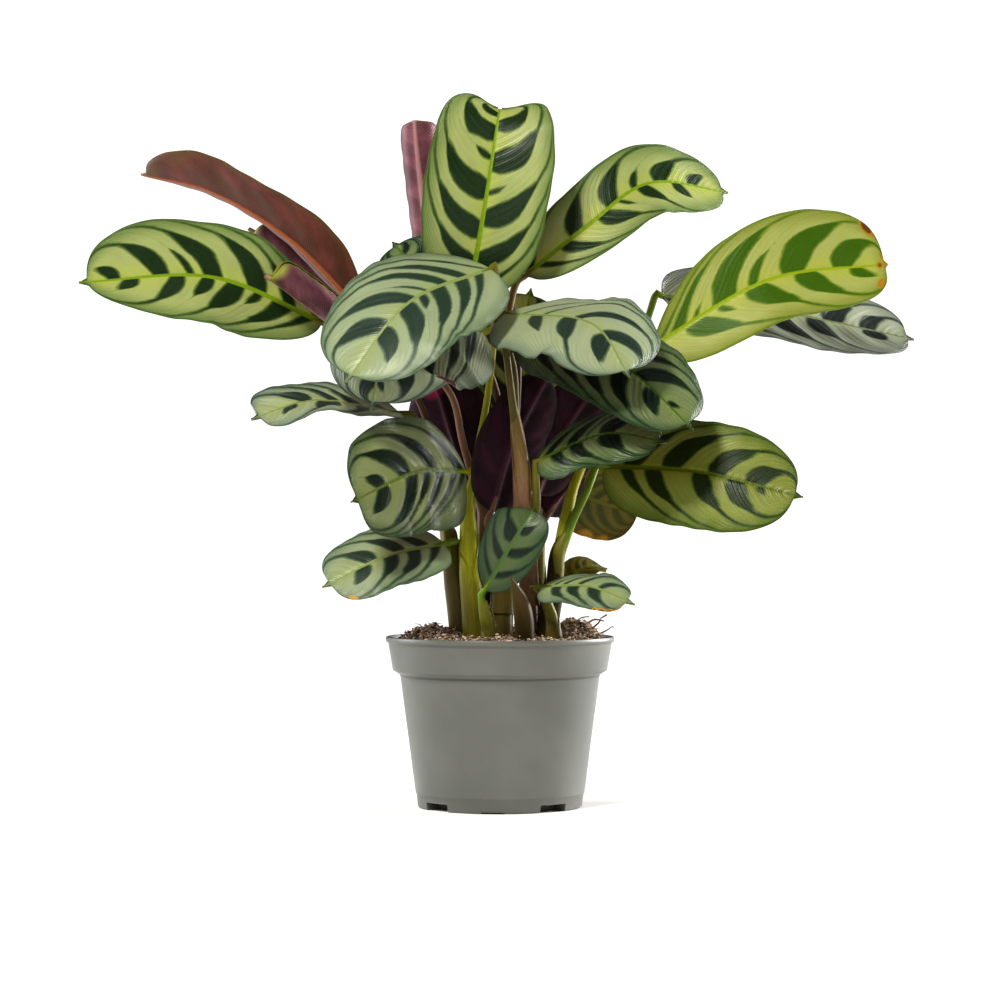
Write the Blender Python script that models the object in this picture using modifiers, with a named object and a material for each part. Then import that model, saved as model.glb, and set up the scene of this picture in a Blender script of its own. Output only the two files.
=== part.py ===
"""Potted amabilis prayer plant: striped leaves on leafy shoots, standing in soil in a small nursery pot.

Every size and place below is in millimetres, and MM turns it to Blender's metres when a mesh is made.
X runs to the right, Y to the back and Z up. The origin is the middle of the pot's underside.
"""

import math
from typing import NamedTuple

import bmesh
import bpy
from mathutils import Matrix, Vector

MM = 0.001
GAP = 0.3  # left between two pieces that touch
WELD = 1e-6  # metres
CURVE_STEPS = 24  # close points on each stretch of a smooth curve

# The pot: a thin moulded cup with a deep rim band
POT_HEIGHT = 52.8
LIP_RADIUS = 35.4
LIP_DEPTH = 1.6
BAND_TOP_RADIUS = 34.6
BAND_BOTTOM_RADIUS = 33.2
BAND_DEPTH = 10.6
BODY_TOP_RADIUS = 30.9
STEP_DEPTH = 1.3
FOOT_RADIUS = 25.4
WALL = 1.1
FLOOR = 1.6
RIDGE_HEIGHT = 4.5
SLOT_WIDTH = 10.0
SLOT_HEIGHT = 2.4
SLOT_REACH = 7.0
SLOT_OVERRUN = 1.5
SLOT_COUNT = 4
SLOT_FIRST_ANGLE = -50.0
FOOT_NOTCH_HEIGHT = 0.5
FOOT_NOTCH_WIDTH = 7.0
POT_SIDES = 48
POT_INSIDE = (  # radius and height, from the floor up
    (FOOT_RADIUS - WALL, FLOOR),
    (BODY_TOP_RADIUS - WALL, POT_HEIGHT - BAND_DEPTH - STEP_DEPTH - 0.6),
    (BAND_BOTTOM_RADIUS - WALL, POT_HEIGHT - BAND_DEPTH + 0.4),
    (BAND_TOP_RADIUS - WALL, POT_HEIGHT - 0.9),
    (BAND_TOP_RADIUS - WALL + 0.4, POT_HEIGHT),
)

# The soil, filled to the lip and a little heaped
SOIL_TOP = 52.0
SOIL_EDGE_DROP = 1.2
SOIL_LUMP = 0.5
SOIL_RADIUS = 32.8
SOIL_SHOULDER = 27.0
SOIL_RINGS = 8
SOIL_SIDES = POT_SIDES // 2
MOUNDS = (  # x, y, spread and rise
    (23.0, 1.0, 8.0, 5.0),
    (-21.0, 0.0, 8.0, 3.5),
    (6.0, 19.0, 12.0, 2.5),
)
ROOT_END = 34.0  # how deep each shoot reaches, as a height above the table
HOLE_CLEARANCE = 0.45
HOLE_SIDES = 14

# The stems and stalks
TUBE_STEP = 9.0
PULVINUS_RADIUS = 1.1
STALK_END_RADIUS = 0.7
STALK_END_GAP = 0.6
STALK_DROP = 1.3
STALK_TURN = 2.2  # radians

# The blades
BLADE_THICKNESS = 0.7
MIDRIB_THICKNESS = 1.5
BLADE_ROWS = (7, 11)  # least and most
BLADE_ROW_LENGTH = 5.5
RIB_HALF_WIDTH = 1.0
BASE_HALF_WIDTH = 0.9
TIP_HALF_WIDTH = 0.5
MUCRO_LENGTH = 2.6  # of the small point at the tip of a blade
MUCRO_HALF_WIDTH = 1.3
NICK_HALF_WIDTH = 0.35  # as a share of the half blade
NICK_START = 0.75


class Leaf(NamedTuple):
    """One blade: the line of its midrib, how wide it is, which way its upper side faces and how it bends."""

    name: str
    spine: tuple  # points of the midrib from base to tip
    width: float
    face: tuple  # direction of the upper side at the base
    face_tip: tuple = ()  # and at the tip, where the blade twists
    cup: tuple = (15.0, 15.0)  # degrees that the left and right margins rise, below 0 where they droop
    fold: float = 0.0  # degrees that both halves rise from the midrib
    wave: float = 0.0  # height of the margin's waves
    waves: float = 2.0
    blunt: tuple = (2.4, 2.4)  # how square the ends of the left and right halves are
    point: float = MUCRO_LENGTH
    nick: float = 0.0  # how far the middle of the tip is drawn back
    lean: tuple = (0.0, 0.0)  # over 0 where that half is widest near the tip, below 0 near the base
    uneven: float = 0.0  # how much wider the right half is than the middle value, as a share


class Petiole(NamedTuple):
    """The stalk of one blade, as points with a radius each, from inside its shoot up to the blade."""

    leaf: str
    route: tuple
    lead: float = 4.0  # how far before the blade the stalk turns into its direction


class Shoot(NamedTuple):
    """A leafy stem: its foot in the soil, the sheathed stem above it, and the stalks that leave it."""

    name: str
    stem: tuple
    petioles: tuple


LEAVES = (
    Leaf(
        "leaf_far_left",
        spine=((-55.4, 4, 150.4), (-88.3, -11, 163.4), (-127.4, -24, 160.9)),
        width=35.5,
        face=(-0.05, -0.93, 0.36),
        cup=(8, 14),
        fold=4,
        wave=0.9,
        waves=2.5,
        blunt=(1.75, 2.4),
        lean=(-0.06, 0.4),
    ),
    Leaf(
        "leaf_arched_left",
        spine=((-44.9, 6, 156), (-65.8, 10, 177), (-91, 22, 192.8), (-115.2, 38, 200)),
        width=27,
        face=(0.4, 0.64, 0.66),
        face_tip=(0.1, 0.5, 0.86),
        cup=(25, 60),
        fold=6,
        wave=0.6,
    ),
    Leaf(
        "leaf_rolled_back",
        spine=((-52, 28, 156), (-66.8, 32, 169.6), (-80.5, 34, 182)),
        width=17,
        face=(0.6, -0.2, 0.75),
        cup=(150, 150),
        blunt=(6.0, 6.0),
    ),
    Leaf(
        "leaf_rolled_front",
        spine=((-52.5, 0, 150.5), (-60, -5, 156), (-67, -8, 161), (-72.2, -10, 164)),
        width=22,
        face=(0.62, -0.2, 0.75),
        cup=(160, 160),
        blunt=(6.0, 6.0),
    ),
    Leaf(
        "leaf_top",
        spine=((-9.3, -4, 159.2), (-4.9, -9, 184.0), (-1.0, -7, 209.5), (0.6, 4, 221)),
        width=39.5,
        face=(0.0, -1.0, 0.1),
        cup=(16, 16),
        fold=3,
        wave=0.5,
        blunt=(2.6, 2.6),
        nick=6.0,
    ),
    Leaf(
        "leaf_middle_left",
        spine=((-3.0, -17, 165.6), (-27.5, -36, 154), (-45.6, -48, 130)),
        width=47,
        face=(-0.3, -0.78, 0.52),
        cup=(-16, -16),
        fold=4,
        wave=0.6,
    ),
    Leaf(
        "leaf_under_left",
        spine=((-5.5, -8, 147), (-20, -21, 147.5), (-34, -30, 139.5), (-38.9, -33, 122)),
        width=48.5,
        face=(-0.3, -0.8, 0.5),
        cup=(-16, -16),
        wave=0.8,
        uneven=-0.1,
    ),
    Leaf(
        "leaf_edge_left",
        spine=((-31.0, -7, 122.0), (-56.0, -21, 125.5), (-75.0, -28, 119.5)),
        width=24,
        face=(0.05, -0.33, 0.94),
        face_tip=(-0.35, -0.62, 0.7),
        cup=(10, 10),
        wave=0.7,
        blunt=(3.2, 3.2),
    ),
    Leaf(
        "leaf_low_left",
        spine=((-10.5, -8, 103.8), (-25.0, -26, 103.5), (-44.0, -45, 94.4)),
        width=37,
        face=(0.68, -0.7, 0.15),
        cup=(-12, -30),
        wave=1.0,
        waves=3,
        blunt=(3.2, 2.4),
        lean=(-0.3, 0.0),
    ),
    Leaf(
        "leaf_bottom_left",
        spine=((-17.2, -10, 81.8), (-34.9, -22, 78.0), (-53.6, -28, 68.8)),
        width=26.5,
        face=(-0.1, -0.75, 0.66),
        cup=(-12, -16),
        wave=0.5,
        blunt=(3.0, 3.0),
        uneven=0.07,
    ),
    Leaf(
        "leaf_front",
        spine=((-4.6, -16.5, 67.7), (1.5, -20, 78.3), (6.5, -21.5, 86.5), (9.5, -20, 91.3), (10, -17.2, 92.6)),
        width=17.5,
        face=(0.1, -0.95, 0.3),
        cup=(18, 18),
        fold=4,
        wave=0.4,
        blunt=(4.0, 2.6),
        lean=(0.8, 0.0),
        uneven=0.18,
    ),
    Leaf(
        "leaf_bottom_right",
        spine=((13.1, -15, 68.7), (27.1, -27, 69.1), (40.5, -32, 63.8)),
        width=18,
        face=(0.1, -0.65, 0.76),
        cup=(-15, -15),
        wave=0.4,
        blunt=(3.0, 3.0),
    ),
    Leaf(
        "leaf_small_back",
        spine=((20.3, 8, 68.4), (26.8, 16, 74.2), (34.0, 24, 73.4)),
        width=12,
        face=(-0.2, -0.7, 0.7),
        cup=(10, 10),
    ),
    Leaf(
        "leaf_brown",
        spine=((19.5, 14, 100), (32, 19, 94), (46, 22, 90.5)),
        width=24,
        face=(0.1, -0.95, -0.3),
        cup=(10, 10),
        wave=0.6,
    ),
    Leaf(
        "leaf_middle_right",
        spine=((12.2, -14, 107.5), (31.7, -27, 115.2), (50.1, -33, 112.4)),
        width=26,
        face=(0.0, -0.7, 0.72),
        cup=(-12, -14),
        wave=0.7,
    ),
    Leaf(
        "leaf_low_right",
        spine=((32.1, -3, 105.5), (60.9, -17, 103.6), (91.5, -26, 95.9)),
        width=36,
        face=(0.0, -0.93, 0.36),
        cup=(-10, -14),
        wave=0.8,
    ),
    Leaf(
        "leaf_right",
        spine=((7.4, -6.5, 147), (36.8, -27, 135.7), (57.6, -38, 116.2)),
        width=40,
        face=(0.3, -0.75, 0.6),
        cup=(-14, -16),
        wave=0.6,
        uneven=-0.07,
    ),
    Leaf(
        "leaf_upper_right",
        spine=((1.8, -17, 152.0), (27.0, -38, 148), (38.4, -48, 131.2)),
        width=46,
        face=(0.2, -0.62, 0.76),
        cup=(-14, -18),
        wave=0.5,
    ),
    Leaf(
        "leaf_top_right",
        spine=((8.4, 2, 165.2), (27.2, 5, 180.5), (47, 14, 194.8), (73, 32, 193.5)),
        width=27,
        face=(-0.3, -0.85, 0.4),
        face_tip=(0.1, -0.9, 0.4),
        cup=(10, 10),
        fold=3,
        wave=0.7,
    ),
    Leaf(
        "leaf_far_right",
        spine=((48.3, 6, 143.3), (84.5, 8, 164), (122.7, 20, 169.6)),
        width=34,
        face=(-0.1, -0.97, 0.2),
        cup=(10, 10),
        fold=3,
        wave=0.7,
        blunt=(2.5, 3.0),
        lean=(0.72, 0.0),
        point=1.2,
        uneven=-0.13,
    ),
    Leaf(
        "leaf_back_right",
        spine=((52, 26, 160), (95, 40, 155), (135.3, 54, 147.6)),
        width=33,
        face=(0.1, -0.7, 0.7),
        cup=(10, 10),
        wave=0.8,
        blunt=(3.2, 2.4),
    ),
    Leaf(
        "leaf_back_tall",
        spine=((-21, 30, 160), (-24, 32, 186), (-26.4, 32, 206), (-27.4, 33, 216.5)),
        width=30,
        face=(0.2, 0.97, 0.1),
        cup=(145, 145),
        blunt=(12.0, 12.0),
        point=0.5,
    ),
    Leaf(
        "leaf_back_left",
        spine=((-14, 8, 154.1), (-25, 20, 166.5), (-34.5, 34, 177.8)),
        width=24,
        face=(-0.2, -0.85, 0.5),
        cup=(10, 10),
    ),
    Leaf(
        "leaf_back_middle",
        spine=((3, 17, 117), (6, 26, 142), (10, 36, 163)),
        width=29,
        face=(0.1, -0.95, 0.2),
        cup=(10, 10),
    ),
    Leaf(
        "leaf_purple_left",
        spine=((-2.6, -6.8, 91.9), (4, -6, 113.0), (15.5, -2, 135.0)),
        width=21.5,
        face=(-0.2, 0.95, 0.2),
        cup=(25, 25),
    ),
    Leaf(
        "leaf_purple_right",
        spine=((11.5, 2, 97.0), (19.0, 3, 115.0), (32.0, 5, 134.0)),
        width=22,
        face=(-0.2, 0.95, 0.2),
        cup=(18, 18),
    ),
    Leaf(
        "leaf_shade",
        spine=((-8, 7, 97), (-14.5, 9, 114), (-21, 10, 135)),
        width=30,
        face=(0.2, 0.95, 0.2),
        cup=(25, 25),
    ),
    Leaf(
        "leaf_low_purple",
        spine=((15.0, 6, 90.6), (19.7, 7, 97.5), (27.6, 9, 105.0)),
        width=12,
        face=(-0.2, 0.95, 0.2),
        cup=(25, 25),
    ),
)

SHOOTS = (
    Shoot(
        "shoot_left",
        stem=(
            (-12.2, 2.2, ROOT_END, 2.9),
            (-12.2, 2.2, 54, 2.9),
            (-14.8, 0.5, 75, 2.6),
            (-16.4, -1.2, 86, 2.3),
        ),
        petioles=(
            Petiole("leaf_bottom_left", route=((-14.8, 0.5, 75, 1.2), (-16.2, -6, 81, 1.1))),
            Petiole(
                "leaf_edge_left",
                route=((-16.4, -1.2, 86, 1.4), (-19, -2, 104, 1.1), (-25, -4, 118, 1.0)),
            ),
            Petiole(
                "leaf_rolled_front",
                route=((-16.4, -1.2, 86, 1.3), (-19, 1, 108, 1.1), (-30, 0, 134, 1.0)),
            ),
        ),
    ),
    Shoot(
        "shoot_front_left",
        stem=((-8, -3, ROOT_END, 3.0), (-8, -3, 54, 3.0), (-9.3, -4, 75, 2.9), (-9.8, -4.5, 87, 2.5)),
        petioles=(
            Petiole("leaf_low_left", route=((-9.8, -4.5, 87, 1.6), (-9.5, -4.5, 97, 1.3))),
            Petiole(
                "leaf_under_left",
                route=(
                    (-9.8, -4.5, 87, 1.5),
                    (-7.5, 0, 107, 1.2),
                    (-4.5, 1, 123, 1.1),
                    (-2.5, -1, 138, 1.0),
                ),
            ),
        ),
    ),
    Shoot(
        "shoot_tall",
        stem=(
            (9.5, -2, ROOT_END, 2.2),
            (9.5, -2, 54, 2.2),
            (8.5, -7, 75, 2.3),
            (7.1, -12, 92, 2.5),
            (6.3, -13, 108, 2.3),
            (4.7, -13, 120, 1.6),
        ),
        petioles=(
            Petiole(
                "leaf_middle_left",
                route=((4.7, -13, 120, 1.4), (3.4, -14.5, 128, 1.2), (0.9, -15.5, 148, 1.1)),
            ),
            Petiole("leaf_upper_right", route=((4.7, -13, 120, 1.3), (4.0, -13, 136, 1.1))),
            Petiole(
                "leaf_right",
                route=((4.7, -13, 120, 1.3), (5.6, -8, 133, 1.1), (4.8, -5, 142, 1.1)),
                lead=4.0,
            ),
            Petiole(
                "leaf_middle_right",
                route=((8.5, -7, 76, 1.2), (11.7, -13, 92, 1.1), (11.2, -14, 101, 1.0)),
            ),
        ),
    ),
    Shoot(
        "shoot_right",
        stem=((14.5, -5, ROOT_END, 2.6), (14.5, -5, 54, 2.6), (17, -6, 70, 2.5), (18, -7, 79, 2.1)),
        petioles=(
            Petiole(
                "leaf_low_right",
                route=((18, -7, 79, 1.5), (22.9, -6, 88.5, 1.3), (28.0, -4, 98, 1.3)),
            ),
            Petiole(
                "leaf_far_right",
                route=((17.6, -6.5, 77, 1.5), (21, -3, 90.4, 1.3), (24.3, 0, 103, 1.2), (35, 5, 125, 1.1)),
            ),
        ),
    ),
    Shoot(
        "shoot_middle",
        stem=(
            (1.2, 1, ROOT_END, 2.9),
            (1.2, 1, 54, 2.9),
            (1.9, 3, 75, 2.6),
            (2.8, 4.5, 95, 2.1),
            (3.5, 4.5, 110, 1.6),
        ),
        petioles=(
            Petiole(
                "leaf_top_right",
                route=((3.5, 4.5, 110, 1.3), (4, 4, 127, 1.1), (2.5, 2, 142, 1.1), (2.8, 1, 153, 1.1)),
            ),
            Petiole("leaf_top", route=((3.3, 4.5, 104, 1.3), (-1, 7, 128, 1.1), (-8, 3, 147, 1.1))),
            Petiole("leaf_back_middle", route=((3, 4.5, 98, 1.2), (3.5, 13, 107, 1.0))),
            Petiole("leaf_purple_left", route=((2.9, 2.5, 72, 1.2), (0, -2, 82, 1.0))),
        ),
    ),
    Shoot(
        "shoot_back_left",
        stem=((-6, 6.3, ROOT_END, 2.5), (-6, 6.3, 54, 2.5), (-5.4, 4.6, 75, 2.4), (-4.9, 3.2, 90, 2.1)),
        petioles=(
            Petiole(
                "leaf_far_left",
                route=((-4, 3, 88, 1.4), (-11.3, 2, 112, 1.2), (-16, 3, 129, 1.1), (-32, 6, 144, 1.1)),
            ),
            Petiole(
                "leaf_arched_left",
                route=((-4, 3, 88, 1.3), (-9, 15, 112, 1.1), (-20, 16, 132, 1.1), (-34, 12, 147, 1.1)),
            ),
            Petiole(
                "leaf_rolled_back",
                route=((-4, 4, 84, 1.2), (-10, 20, 110, 1.0), (-23, 25, 132, 1.0), (-40, 27, 149, 1.0)),
            ),
            Petiole("leaf_shade", route=((-4, 4, 80, 1.1), (-7, 6, 90, 1.0))),
            Petiole(
                "leaf_back_left",
                route=((-4, 4, 86, 1.2), (-6, 11, 116, 1.0), (-9, 9, 138, 1.0)),
            ),
            Petiole(
                "leaf_back_tall",
                route=((-4, 4, 82, 1.2), (-6, 26, 116, 1.0), (-15, 30, 146, 1.0)),
            ),
        ),
    ),
    Shoot(
        "shoot_back_right",
        stem=((11, 8, ROOT_END, 2.3), (11, 8, 54, 2.3), (12, 8, 70, 2.0), (12.5, 9, 78, 1.6)),
        petioles=(
            Petiole(
                "leaf_back_right",
                route=((12.5, 9, 78, 1.3), (15, 21, 100, 1.1), (28, 27, 132, 1.1), (44, 28, 147, 1.1)),
            ),
            Petiole("leaf_brown", route=((12.5, 9, 78, 1.2), (14, 11, 92, 1.0))),
            Petiole("leaf_purple_right", route=((12.5, 9, 78, 1.2), (9.0, 4, 88, 1.0))),
            Petiole("leaf_small_back", route=((11.5, 8, 62, 1.1), (15, 5, 66, 1.0))),
            Petiole("leaf_low_purple", route=((12.5, 9, 78, 1.1), (12.6, 7, 84, 1.0))),
        ),
    ),
    Shoot(
        "shoot_small_front",
        stem=((-3, -13, ROOT_END, 2.4), (-3, -13, 54, 2.4), (-4, -14, 58, 2.2), (-5.4, -15.2, 64, 1.4)),
        petioles=(
            Petiole("leaf_front", route=((-4.4, -14.6, 60, 1.2),), lead=2.0),
        ),
    ),
    Shoot(
        "shoot_small_right",
        stem=(
            (16.5, -12.5, ROOT_END, 2.0),
            (16.5, -12.5, 54, 2.0),
            (15, -13, 62, 1.6),
            (12, -13.5, 67, 1.1),
        ),
        petioles=(
            Petiole("leaf_bottom_right", route=((15, -13, 62, 1.1), (12, -13.5, 67, 1.0))),
        ),
    ),
    Shoot(
        "shoot_spear",
        stem=((7.6, -20, ROOT_END, 2.6), (7.6, -20, 52, 2.9), (6.6, -22.5, 63, 2.6), (3.4, -27, 71.5, 0.5)),
        petioles=(),
    ),
)


def smooth(points):
    """A smooth curve through the given points, as close points with the length reached at each."""
    knots = [Vector(point) for point in points]
    knots = [knots[0] * 2 - knots[1], *knots, knots[-1] * 2 - knots[-2]]
    fine = []
    for before, start, end, after in zip(knots, knots[1:], knots[2:], knots[3:]):
        for step in range(CURVE_STEPS):
            t = step / CURVE_STEPS
            bend = (before * 2 - start * 5 + end * 4 - after) * t * t
            twist = (start * 3 - before - end * 3 + after) * t * t * t
            fine.append((start * 2 + (end - before) * t + bend + twist) / 2)
    fine.append(knots[-2])
    reach = [0.0]
    for start, end in zip(fine, fine[1:]):
        reach.append(reach[-1] + (end.to_3d() - start.to_3d()).length)
    return fine, reach


def along(curve, share):
    """The point at this share of a smooth curve's length."""
    fine, reach = curve
    wanted = min(max(share, 0.0), 1.0) * reach[-1]
    index = next((i for i, length in enumerate(reach[1:]) if length >= wanted), len(reach) - 2)
    step = reach[index + 1] - reach[index]
    return fine[index].lerp(fine[index + 1], (wanted - reach[index]) / step if step else 0.0)


def finish(name, color, roughness):
    """A plain material with this colour."""
    material = bpy.data.materials.new(name)
    material.use_nodes = True
    shader = material.node_tree.nodes["Principled BSDF"]
    shader.inputs["Base Color"].default_value = (*color, 1.0)
    shader.inputs["Roughness"].default_value = roughness
    shader.inputs["Metallic"].default_value = 0.0
    material.diffuse_color = (*color, 1.0)
    return material


def add_object(name, mesh, collection, material=None):
    """An object for this mesh in this collection."""
    made = bpy.data.objects.new(name, mesh)
    collection.objects.link(made)
    if material:
        mesh.materials.clear()
        mesh.materials.append(material)
    return made


def realised(source, name, collection, material=None):
    """The object's mesh with its modifiers applied, as a new object that takes the old one's place."""
    graph = bpy.context.evaluated_depsgraph_get()
    mesh = bpy.data.meshes.new_from_object(source.evaluated_get(graph))
    mesh.transform(source.matrix_world)
    weld = bmesh.new()
    weld.from_mesh(mesh)
    bmesh.ops.remove_doubles(weld, verts=weld.verts, dist=WELD)
    weld.to_mesh(mesh)
    weld.free()
    bpy.data.objects.remove(source)
    return add_object(name, mesh, collection, material)


def turned(name, profile, sides, collection):
    """A solid turned about the Z axis from (radius, height) points that run down its outer side."""
    mesh = bpy.data.meshes.new(name)
    points = [(radius * MM, 0.0, height * MM) for radius, height in profile]
    mesh.from_pydata(points, [(i, i + 1) for i in range(len(points) - 1)], [])
    source = add_object(name + "_profile", mesh, collection)
    screw = source.modifiers.new("Turn", "SCREW")
    screw.steps = sides
    screw.render_steps = sides
    screw.use_merge_vertices = True
    screw.merge_threshold = WELD
    bpy.context.view_layer.update()
    return realised(source, name, collection)


def box(name, size, place, angle, collection):
    """A block of this size, turned about the Z axis by an angle in degrees round the origin."""
    mesh = bpy.data.meshes.new(name)
    shape = bmesh.new()
    bmesh.ops.create_cube(shape, size=1.0)
    bmesh.ops.scale(shape, vec=Vector(size) * MM, verts=shape.verts)
    bmesh.ops.translate(shape, vec=Vector(place) * MM, verts=shape.verts)
    bmesh.ops.rotate(shape, matrix=Matrix.Rotation(math.radians(angle), 3, "Z"), verts=shape.verts)
    shape.to_mesh(mesh)
    shape.free()
    return add_object(name, mesh, collection)


def cylinder(name, radius, low, high, place, collection):
    """An upright cylinder between two heights."""
    mesh = bpy.data.meshes.new(name)
    shape = bmesh.new()
    bmesh.ops.create_cone(shape, cap_ends=True, segments=HOLE_SIDES, radius1=radius * MM,
                          radius2=radius * MM, depth=(high - low) * MM)
    bmesh.ops.translate(shape, vec=Vector((*place, (low + high) / 2)) * MM, verts=shape.verts)
    shape.to_mesh(mesh)
    shape.free()
    return add_object(name, mesh, collection)


def combined(base, others, operation, name, collection, material, solver="EXACT"):
    """The base joined with, or cut by, the other objects, which are then removed."""
    group = bpy.data.collections.new(name + "_others")
    bpy.context.scene.collection.children.link(group)
    group.hide_render = True
    for other in others:
        for old in other.users_collection:
            old.objects.unlink(other)
        group.objects.link(other)
        other.hide_render = True
        other.display_type = "WIRE"
    change = base.modifiers.new("Combine", "BOOLEAN")
    change.operation = operation
    change.operand_type = "COLLECTION"
    change.collection = group
    change.solver = solver
    bpy.context.view_layer.update()
    made = realised(base, name, collection, material)
    for other in list(group.objects):
        bpy.data.objects.remove(other)
    bpy.data.collections.remove(group)
    return made


def shade(made, angle=35.0):
    """Shades an object smooth, and sharp at edges over the angle."""
    made.data.shade_smooth()
    made.data.set_sharp_from_angle(angle=math.radians(angle))


def make_pot(collection, helpers):
    """The pot: a turned cup, cut by four drain slots and four shallow notches under its edge."""
    band_low = POT_HEIGHT - BAND_DEPTH
    body_high = band_low - STEP_DEPTH
    outer = [
        (LIP_RADIUS - 0.4, POT_HEIGHT),
        (LIP_RADIUS, POT_HEIGHT - 0.4),
        (LIP_RADIUS, POT_HEIGHT - LIP_DEPTH),
        (BAND_TOP_RADIUS, POT_HEIGHT - LIP_DEPTH - 0.4),
        (BAND_BOTTOM_RADIUS, band_low),
        (BAND_BOTTOM_RADIUS - 0.5, band_low - 0.4),
        (BODY_TOP_RADIUS, body_high),
        (FOOT_RADIUS + 0.75, RIDGE_HEIGHT),
        (FOOT_RADIUS + 0.4, RIDGE_HEIGHT - 0.4),
        (FOOT_RADIUS, 0.5),
        (FOOT_RADIUS - 0.5, 0.0),
    ]
    groove = [(20.0, 0.0), (19.4, 0.5), (14.6, 0.5), (14.0, 0.0), (0.0, 0.0)]
    inner = [(0.0, FLOOR), *POT_INSIDE]
    profile = [*inner, *outer, *groove]
    cup = turned("pot_cup", profile, POT_SIDES, helpers)
    slot = (SLOT_REACH, SLOT_WIDTH, SLOT_HEIGHT * 2)
    notch = (SLOT_REACH, FOOT_NOTCH_WIDTH, FOOT_NOTCH_HEIGHT * 2)
    place = (FOOT_RADIUS + SLOT_OVERRUN - SLOT_REACH / 2, 0, 0)
    cutters = []
    for index in range(SLOT_COUNT):
        turn = SLOT_FIRST_ANGLE + index * 360 / SLOT_COUNT
        cutters.append(box(f"slot_{index}", slot, place, turn, helpers))
        cutters.append(box(f"notch_{index}", notch, place, turn + 180 / SLOT_COUNT, helpers))
    plastic = finish("Pot plastic", (0.27, 0.31, 0.28), 0.45)
    pot = combined(cup, cutters, "DIFFERENCE", "pot", collection, plastic)
    shade(pot)


def soil_height(x, y):
    """Height of the soil's surface: level, lower at the pot's wall, with mounds and lumps."""
    edge = max(0.0, math.hypot(x, y) - SOIL_SHOULDER) / (SOIL_RADIUS - SOIL_SHOULDER)
    lumps = math.sin(x * 0.61 + 1.3) * math.sin(y * 0.53 + 0.4) + 0.6 * math.sin(x * 1.13 + y * 0.87)
    mounds = 0.0
    for place_x, place_y, spread, rise in MOUNDS:
        mounds += rise * math.exp(-((x - place_x) ** 2 + (y - place_y) ** 2) / spread**2)
    return SOIL_TOP + SOIL_LUMP * lumps + mounds * (1 - 0.6 * edge**2) - SOIL_EDGE_DROP * edge**2


def make_soil(collection, helpers):
    """The soil: a turned plug, its top raised by a formula, with a plain hole for each shoot."""
    sides = [(radius - GAP, height) for radius, height in reversed(POT_INSIDE) if height < SOIL_TOP - 1]
    sides[-1] = (sides[-1][0], FLOOR + GAP)
    top = [(SOIL_RADIUS * ring / SOIL_RINGS, SOIL_TOP) for ring in range(SOIL_RINGS + 1)]
    plug = turned("soil_plug", [*top, *sides, (0.0, FLOOR + GAP)], SOIL_SIDES, helpers)
    for corner in plug.data.vertices:
        if corner.co.z > (SOIL_TOP - 0.1) * MM:
            corner.co.z = soil_height(corner.co.x / MM, corner.co.y / MM) * MM
    holes = []
    for shoot in SHOOTS:
        x, y, low, radius = shoot.stem[0]
        widest = max(radius, shoot.stem[1][3]) + HOLE_CLEARANCE
        holes.append(cylinder(shoot.name + "_hole", widest, low - GAP, POT_HEIGHT + 20, (x, y), helpers))
    peat = finish("Potting soil", (0.04, 0.025, 0.015), 0.95)
    soil = combined(plug, holes, "DIFFERENCE", "soil", collection, peat)
    shade(soil, 60.0)


def blade_frame(leaf, curve, t):
    """Place on the midrib, and the directions along it, to its right and out of its upper side."""
    place = along(curve, t)
    ahead = (along(curve, t + 0.01) - along(curve, t - 0.01)).normalized()
    face = Vector(leaf.face).lerp(Vector(leaf.face_tip or leaf.face), t)
    right = ahead.cross(face).normalized()
    return place, ahead, right, right.cross(ahead)


def blade_half_width(leaf, share, body, side):
    """Width of the left (-1) or right (1) half at this share of the length: an oval with a small point."""
    lean, blunt = (values[side > 0] for values in (leaf.lean, leaf.blunt))
    inside = min(share / body, 1.0) ** (1 + lean)
    oval = leaf.width / 2 * (1 + leaf.uneven * side) * (1 - abs(2 * inside - 1) ** blunt) ** (1 / blunt)
    tip = MUCRO_HALF_WIDTH * min(1.0, (1 - share) / (1 - body))
    point = tip if share > 0.5 else BASE_HALF_WIDTH
    return max(oval, point, TIP_HALF_WIDTH)


def blade_point(leaf, curve, t, v, half):
    """A point of the blade's upper side: t runs from base to tip, v from left margin to right."""
    place, ahead, right, up = blade_frame(leaf, curve, t)
    cup = math.radians(leaf.cup[0] if v < 0 else leaf.cup[1])
    turn = cup * abs(v)
    out = half * (math.sin(turn) / cup if cup else abs(v))
    rise = half * ((1 - math.cos(turn)) / cup if cup else 0.0)
    fold = math.radians(leaf.fold)
    out, rise = out * math.cos(fold) - rise * math.sin(fold), out * math.sin(fold) + rise * math.cos(fold)
    phase = 0.5 if v > 0 else 0.0
    swell = leaf.wave * v * v * math.sin(math.pi * t) * math.sin(math.tau * (leaf.waves * t + phase))
    end = max(0.0, (t - NICK_START) / (1 - NICK_START))
    nick = leaf.nick * end**2 * math.exp(-((v / NICK_HALF_WIDTH) ** 2))
    return place + right * math.copysign(out, v) + up * (rise + swell) - ahead * nick


def blade_columns(half):
    """Where the blade's lengthwise lines lie, from -1 to 1 across it: the midrib keeps its own width."""
    rib = min(0.4, RIB_HALF_WIDTH / half)
    middle = rib + (1 - rib) * 0.55
    return -1.0, -middle, -rib, 0.0, rib, middle, 1.0


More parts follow.
